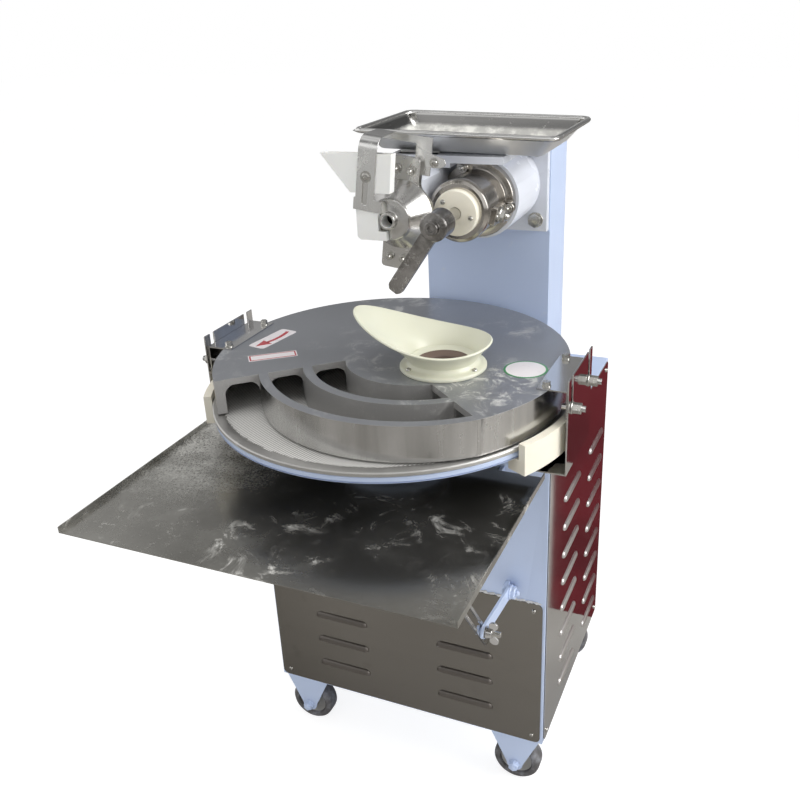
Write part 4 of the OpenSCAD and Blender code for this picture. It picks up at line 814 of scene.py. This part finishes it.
# Column and head
def make_head():
    ease_node("column", "blue", 3.0, 3)
    ease_node("pump_body", "white", 2.5, 3)
    drum = turned([(30.6, 70), (37, 70), (41, 72.5), (42, 75), (42, 82), (41.3, 83), (41.3, 145), (44, 146),
                   (51.5, 146), (52.5, 147), (52.5, 158), (30.6, 158), (30.6, 70)], 96)
    placed(drum, move(KNIFE_X, 0, HEAD_Z), FACE_BACK)
    cut(drum, (39.7, 0, 0), (-1, 0, 0), True)
    bmesh.ops.holes_fill(drum, edges=[e for e in drum.edges if e.is_boundary], sides=0)
    tidy(drum)
    ears = []
    for a in (111, -9):
        x, z = around(a, EAR_RING)
        ear = turned([(0, 0), (7.8, 0), (8.4, 0.8), (8.4, 9.4), (7.8, 10), (0, 10)], 40)
        ears.append(placed(ear, move(KNIFE_X + x, EAR_Y, HEAD_Z + z), FACE_BACK))
    pad = slab(rectangle(34, 26), 7, 2.5)
    port = (move(KNIFE_X, PORT_Y, HEAD_Z), turn(PORT_LEAN, "Y"))
    ears.append(placed(pad, *port, move(38.5, 0, 0), FACE_RIGHT, turn(90, "Z")))
    eased(piece(joined(drum, *ears), "drum_turning", BASE, "drum", ("drum",)), 0.6)
    cap = turned([(8.1, 75), (30.5, 75), (30.5, 62.4), (29.2, 60.6), (27.4, 60), (8.6, 60), (8.1, 60.6),
                  (8.1, 75)], 72)
    placed(cap, move(KNIFE_X, 0, HEAD_Z), FACE_BACK)
    piece(cap, "end_cap_disc", BASE, "nylon", ("end_cap",))
    ease_node("knife_shaft", "turned", 1.0)
    bolts = []
    for x in (-31, 133):
        for z in (853, 957):
            bolts.append(placed(hex_bolt(10.5, 4), move(x, COLUMN_Y, z), FACE_FRONT))
    for a in (111, 231, -9):
        x, z = around(a, EAR_RING)
        bolts.append(placed(hex_bolt(5.4, 3.2, 2.0), move(KNIFE_X + x, EAR_Y, HEAD_Z + z), FACE_FRONT))
    for a in (140, -14):
        x, z = around(a, 22)
        bolts.append(placed(dome_screw(3.5, 2.2), move(KNIFE_X + x, CAP_Y, HEAD_Z + z), FACE_FRONT))
    outside = (*port, move(45.5, 0, 0), FACE_RIGHT)
    plug = joined(washer(11, 5, 3), placed(hexagon(10, 5), move(0, 0, 3)),
                  placed(thread(5, 6), move(0, 0, 7.6)))
    bolts.append(placed(plug, *outside))
    for d in (-12, 12):
        bolts.append(placed(dome_screw(2.6, 1.8), *outside, move(0, d, 0)))
    lean = (move(OUTLET_X, BELL_Y, HEAD_Z), turn(BELL_LEAN, "Y"))
    for x in (-10, 10):
        for z in (-59, 59):
            bolts.append(placed(hex_bolt(5.4, 3.0, 3.0), *lean, move(x, 0, z), FACE_FRONT))
    piece(joined(*bolts), "head_bolt_set", BASE, "bolt", ("head_bolts",))
    for node in ("knife_gear", "feed_gear", "feed_rotor", "head_sprocket", "motor_sprocket"):
        ease_node(node, "turned", 0.6)
    ease_node("head_chain", "bolt", 0.6)
    ease_node("head_motor", "casting", 0.6)


def make_outlet():
    lean = (move(OUTLET_X, BELL_Y, HEAD_Z), turn(BELL_LEAN, "Y"))
    flange = slab([(-22, -75), (22, -75), (22, -38), (40, -22), (46, 0), (40, 22), (22, 38), (22, 75),
                   (-22, 75), (-22, 38), (-40, 22), (-46, 0), (-40, -22), (-22, -38)], 10, 5)
    bmesh.ops.holes_fill(flange, edges=[e for e in flange.edges if e.is_boundary], sides=0)
    placed(flange, *lean, move(0, 10, 0), FACE_FRONT)
    cone = turned([(8, -2), (10.2, -2), (11, -1.2), (11, 7.6), (12, 8.2), (25.6, 8.2), (27, 9.6), (27, 12),
                   (29, 15.4), (38.5, 30), (43.5, 38.5), (45.8, 41.2), (46, 44), (23, 46), (8, 18),
                   (8, -2)], 80)
    for f in cone.faces:
        f.material_index = 1 if f.calc_center_median().xy.length < 8.6 else 0
    placed(cone, move(OUTLET_X, 0, HEAD_Z), FACE_BACK)
    whole = joined(flange, cone)
    eased(piece(whole, "outlet_cone", BASE, ["bell", "flour"], ("outlet_bell",)), 0.9)
    ease_node("guard_strap", "strap", 0.5)
    lug = slab([(36, 992), (36, 980.5), (45.5, 979.5), (46.5, 966), (68, 965.5), (75, 970), (73, 977),
                (50, 985)], 2.2, 1.5)
    eased(piece(placed(lug, move(0, 52, 0), FACE_FRONT), "bell_lug", BASE, "strap"), 0.5)
    lug_screw = joined(washer(6.4, 2, 0.8), placed(dome_screw(4.6, 2.6), move(0, 0, 0.8)))
    placed(lug_screw, move(59, 49.8, 972.5), FACE_FRONT)
    piece(lug_screw, "bell_lug_screw", BASE, "bolt")
    ease_node("flour_box", "flour", 0.8)
    slide = (move(OUTLET_X, 0, HEAD_Z), turn(BELL_LEAN, "Y"))
    tongue = placed(block((-39, 0.05, 8), (-28.2, 0.25, 70)), *slide)
    piece(tongue, "slide_tongue", "flour", "polish")
    screw = joined(washer(7.4, 2, 0.6), placed(dome_screw(5.2, 1.4), move(0, 0, 0.6)))
    placed(screw, *slide, move(-33.6, -1.7, 52), FACE_FRONT)
    piece(screw, "slide_screw", "flour", "bolt")
    ease_node("flour_cup", "flour", 0.5)


def make_knife():
    hub = turned([(8.1, -17), (8.1, 14), (17.6, 14), (18.5, 13), (18.5, -16.4), (17, -18), (10.4, -18),
                  (9, -18.4), (9, -25.2), (8.2, -26), (4.6, -26), (4.2, -25.6), (4.2, -21.4), (0, -21.4),
                  (0, -17), (8.1, -17)], 64)
    outline = [(-108.6, -6), (-103, -10.5), (-14, -10.5), (-14, 10.5), (-103, 10.5), (-108.6, 6)]
    blade, lean = slab(outline, 8, 1.5, 3), 34.6
    placed(blade, move(0, -12, 0), turn(lean - 90, "Y"), FACE_BACK)
    placed(hub, FACE_BACK)
    whole = placed(joined(hub, blade), move(KNIFE_X, 0, HEAD_Z))
    eased(piece(whole, "knife_blade", "knife", "knife", ("knife_arm",)), 1.2, 3)


# Hopper pan with rounded corners and a rolled rim
def make_hopper():
    floor, foot, head = (230, 136), (233, 139), (274, 180)
    throat_x, throat_y = (-85, -29), (-63, 19)
    shape = bmesh.new()
    shape.faces.new([shape.verts.new((x, y, 0)) for x, y in rectangle(*floor)])
    round_corners(shape, 10, 6)

    def pull(width, depth, z, now, lines=None):
        lines = lines or [e for e in shape.edges if e.is_boundary and min(v.co.z for v in e.verts) > -5]
        grown = corners(bmesh.ops.extrude_edge_only(shape, edges=lines)["geom"])
        bmesh.ops.scale(shape, vec=(width / now[0], depth / now[1], 1), verts=grown)
        level = sum(v.co.z for v in grown) / len(grown)
        bmesh.ops.translate(shape, vec=(0, 0, z - level), verts=grown)
        return width, depth

    for axis, cuts in (((1, 0, 0), throat_x), ((0, 1, 0), throat_y)):
        for place in cuts:
            cut(shape, [place * a for a in axis], axis)
    rim = [e for e in shape.edges if e.is_boundary]
    middle = Vector((sum(throat_x) / 2, sum(throat_y) / 2, 0))
    throat = min(shape.faces, key=lambda f: (f.calc_center_median() - middle).length)
    chute = bmesh.ops.extrude_discrete_faces(shape, faces=[throat])["faces"]
    bmesh.ops.translate(shape, vec=(0, 0, -29), verts=chute[0].verts)
    mouth = list(chute[0].edges)
    well = [e for e in shape.edges if e.is_boundary and e not in rim and e not in mouth]
    bmesh.ops.bridge_loops(shape, edges=well + mouth)
    bmesh.ops.delete(shape, geom=chute, context="FACES_ONLY")
    now = pull(*foot, 0.6, floor, rim)
    now = pull(*head, 25.0, now)
    roll = 3.0
    for k in range(9):
        a = math.radians(200 - 36 * k)
        out = 3.1 + roll * math.cos(a)
        now = pull(head[0] + 2 * out, head[1] + 2 * out, 26.0 + roll * math.sin(a), now)
    placed(shape, move(PAN_X, PAN_Y, 973.4), turn(PAN_LEAN, "Y"))
    bmesh.ops.recalc_face_normals(shape, faces=shape.faces)
    if sum(f.normal.z for f in shape.faces) < 0:
        bmesh.ops.reverse_faces(shape, faces=shape.faces)
    pan = piece(shape, "hopper_pan", "hopper_body", ["pan", "under"], ("hopper",), angle=50)
    walled(pan, 1.3, 0, 1)


def make_tray():
    ease_node("tray", "tray", 0.6)
    ease_node("tray_hinge", "blue", 1.0)
    arm = ease_node("tray_arm", ["blue", "bolt"], 1.0)
    for face in arm.data.polygons:
        if face.center.x > spot(183.6, 0, 0).x:
            face.material_index = 1
    ease_node("tray_link", "plate", 0.6)
    boss = turned([(0, 0), (11, 0), (11, 1.6), (9.6, 3), (9.4, 7.4), (8.6, 8.4), (5, 8.6), (0, 8.6)], 36)
    boss = joined(boss, placed(thread(4, 5), move(0, 0, 8.4)))
    piece(placed(boss, move(ARM_X, -14, 382), FACE_RIGHT), "arm_boss", "arm", "blue")
    turns = [math.radians(205 - 15 * k) for k in range(17)]
    ear = [(7.5 + 6.4 * math.cos(a), 13 + 6.4 * math.sin(a)) for a in turns]
    wings = []
    for half in (0, 180):
        wing = slab([(-4, 2)] + ear + [(6, 3), (5, 0), (-4, 0)], 2.6)
        wings.append(placed(wing, turn(half, "X"), move(3, 0, -1.3)))
    hub = turned([(4.05, 0), (8, 0), (8.4, 0.8), (7, 8.4), (6.2, 9), (4.05, 9), (4.05, 0)], 32)
    placed(hub, FACE_RIGHT)
    nut = placed(joined(*wings, hub), move(CLAMP_X, -124, 394), turn(-84, "X"))
    eased(piece(nut, "wing_nut_form", "clamp", "plate", ("wing_nut",)), 0.8)


def make_marks():
    ring = turned([(0, 0), (0.995, 0), (1.0, 0.2), (0.995, 0.35), (0.90, 0.35), (0.895, 0.4), (0, 0.4)], 64)
    for f in ring.faces:
        f.material_index = 0 if f.calc_center_median().xy.length > 0.9 else 1
    placed(ring, move(193, 16, COVER_TOP), Matrix.Diagonal((29, 29, 1, 1)))
    piece(ring, "round_plate", "cover", ["green", "label"])
    edge = second_finish(placed(slab(rectangle(65, 19), 0.26), move(0, 0, 0.03)))
    field = placed(slab(rectangle(61, 15), 0.27), move(0, 0, 0.06))
    bare = joined(slab(rectangle(68, 22), 0.25), edge, field)
    placed(bare, move(-155, -43, COVER_TOP), turn(37, "Z"))
    piece(bare, "bare_label", "cover", ["label", "red"])
    bow, wide = 92.0, 5.5
    turns = [math.radians(-14 + 4 * k) for k in range(9)]
    outer = [(bow * math.cos(a) - bow, bow * math.sin(a)) for a in turns]
    inner = [((bow - wide) * math.cos(a) - bow, (bow - wide) * math.sin(a)) for a in reversed(turns)]
    arrow = joined(slab(outer + inner, 0.3), slab([(-14.5, -18), (4.5, -22.5), (-9.5, -42)], 0.3))
    paper = slab([(-22, -45), (7, -45), (7, 34), (-22, 34)], 0.25, 5)
    whole = joined(paper, placed(second_finish(arrow), move(0, 0, 0.05)))
    placed(whole, move(-190, 20, COVER_TOP), turn(-9, "Z"), move(7, 3, 0))
    piece(whole, "turn_arrow", "cover", ["label", "red"])


# Bright floor that looks darker in the steel
def make_stage():
    shape = bmesh.new()
    bmesh.ops.create_grid(shape, x_segments=2, y_segments=2, size=12)
    ground = object_of(shape, "floor")
    paper = Finish("floor_paper", Roughness=0.9)
    paper.set(Base_Color=paper.tint(paper.noise(3), (0.90, 0.90, 0.90), (0.93, 0.93, 0.93)))
    glow = paper.add("ShaderNodeEmission", {}, {"Color": (1, 1, 1), "Strength": 1.355})
    camera_ray = paper.add("ShaderNodeLightPath", {}, {}, "Is Camera Ray")
    mirror_ray = paper.add("ShaderNodeLightPath", {}, {}, "Is Glossy Ray")
    tone = paper.tint(paper.noise(1.3, 2).ramp(0.40, 0.62), (0.36, 0.345, 0.32), (0.62, 0.60, 0.57))
    mirrored = paper.add("ShaderNodeBsdfPrincipled", {},
                         {"Base Color": tone, "Roughness": 1.0, "Specular IOR Level": 0.0})
    lit = paper.add("ShaderNodeMixShader", {}, {0: mirror_ray, 1: paper.surface, 2: mirrored})
    mixed = paper.add("ShaderNodeMixShader", {}, {0: camera_ray * 0.62, 1: lit, 2: glow})
    paper.feed(paper.output.inputs["Surface"], mixed)
    ground.data.materials.append(paper.material)


# Cards that only mirrors see, dim with brighter patches
def card(name, dark, light, width, height, place, aim, scale=1.1):
    shape = bmesh.new()
    shape.faces.new([shape.verts.new((x, y, 0)) for x, y in rectangle(width, height)])
    direction = (Vector(aim) - Vector(place)).normalized()
    placed(shape, move(*place), direction.to_track_quat("Z", "Y").to_matrix().to_4x4())
    made = object_of(shape, name)
    made.visible_camera = made.visible_diffuse = made.visible_shadow = False
    f = Finish(name + "_paper", Roughness=0.9, Emission_Strength=1.0)
    f.set(Base_Color=(0, 0, 0), Emission_Color=f.tint(f.noise(scale, 2).ramp(0.38, 0.64), dark, light))
    made.data.materials.append(f.material)


def lamp(name, size, power, place, aim, mirrored=False):
    light = bpy.data.lights.new(name, "AREA")
    light.shape, light.size, light.energy = "SQUARE", size, power
    made = bpy.data.objects.new(name, light)
    made.location = place
    made.rotation_euler = (Vector(aim) - Vector(place)).to_track_quat("-Z", "Y").to_euler()
    made.visible_glossy = mirrored
    bpy.context.scene.collection.objects.link(made)


# Even light all round that looks white
def make_world():
    world = bpy.data.worlds.new("studio")
    bpy.context.scene.world = world
    world.use_nodes = True
    sky = NodeTree(world.node_tree)
    camera_ray, mirror_ray, glass_ray = (sky.add("ShaderNodeLightPath", {}, {}, f"Is {kind} Ray")
                                         for kind in ("Camera", "Glossy", "Transmission"))
    seen = sky.add("ShaderNodeMath", {"operation": "ADD", "use_clamp": True},
                   {0: camera_ray, 1: mirror_ray + glass_ray})
    soft = sky.add("ShaderNodeBackground", {}, {"Color": (1, 1, 1), "Strength": 0.42})
    white = sky.add("ShaderNodeBackground", {}, {"Color": (1, 1, 1), "Strength": 1.0})
    mixed = sky.add("ShaderNodeMixShader", {}, {0: seen, 1: soft, 2: white})
    sky.node("ShaderNodeOutputWorld", {}, {"Surface": mixed})


def make_light():
    lamp("right_softbox", 1.6, 54, (2.3, 0.2, 1.7), (0, 0, 0.6), True)
    lamp("top_softbox", 1.8, 26, (-0.2, -0.3, 3.0), (0, 0, 0.6))
    lamp("front_fill", 2.2, 21, (-0.8, -3.0, 1.6), (0, 0, 0.5))
    cloth_y, cloth_dark, cloth_light = 457, (0.10, 0.011, 0.016), (0.15, 0.017, 0.024)
    for name, left, right, foot, head in (("low_cloth", 236, 345, 0, 345),
                                          ("high_cloth", 236, 430, 345, 640)):
        x, z = (left + right) / 2, (foot + head) / 2
        card(name, cloth_dark, cloth_light, (right - left) / 1000, (head - foot) / 1000,
             spot(x, cloth_y, z), spot(x, -2000, z), 6)
    card("back_wall", (0.10, 0.10, 0.10), (0.52, 0.52, 0.52), 7.0, 2.6, (-0.6, 2.6, 2.0), (-0.6, 0, 2.0))
    card("ceiling", (0.10, 0.10, 0.10), (0.80, 0.80, 0.80), 6.0, 6.0, (0, 0.4, 3.6), (0, 0.4, 0), 0.9)
    card("front_room", (0.07, 0.07, 0.068), (0.85, 0.85, 0.84), 6.0, 2.6, (-1.0, -3.6, 1.0), (0, 0, 0.6),
         1.6)


set_camera()
FINISH = make_finishes()
make_cabinet()
make_casters()
make_turntable()
make_cover()
make_funnel()
make_hangers()
make_head()
make_outlet()
make_knife()
make_hopper()
make_tray()
make_marks()
make_stage()
make_world()
make_light()
bpy.context.scene.view_settings.view_transform = "Standard"
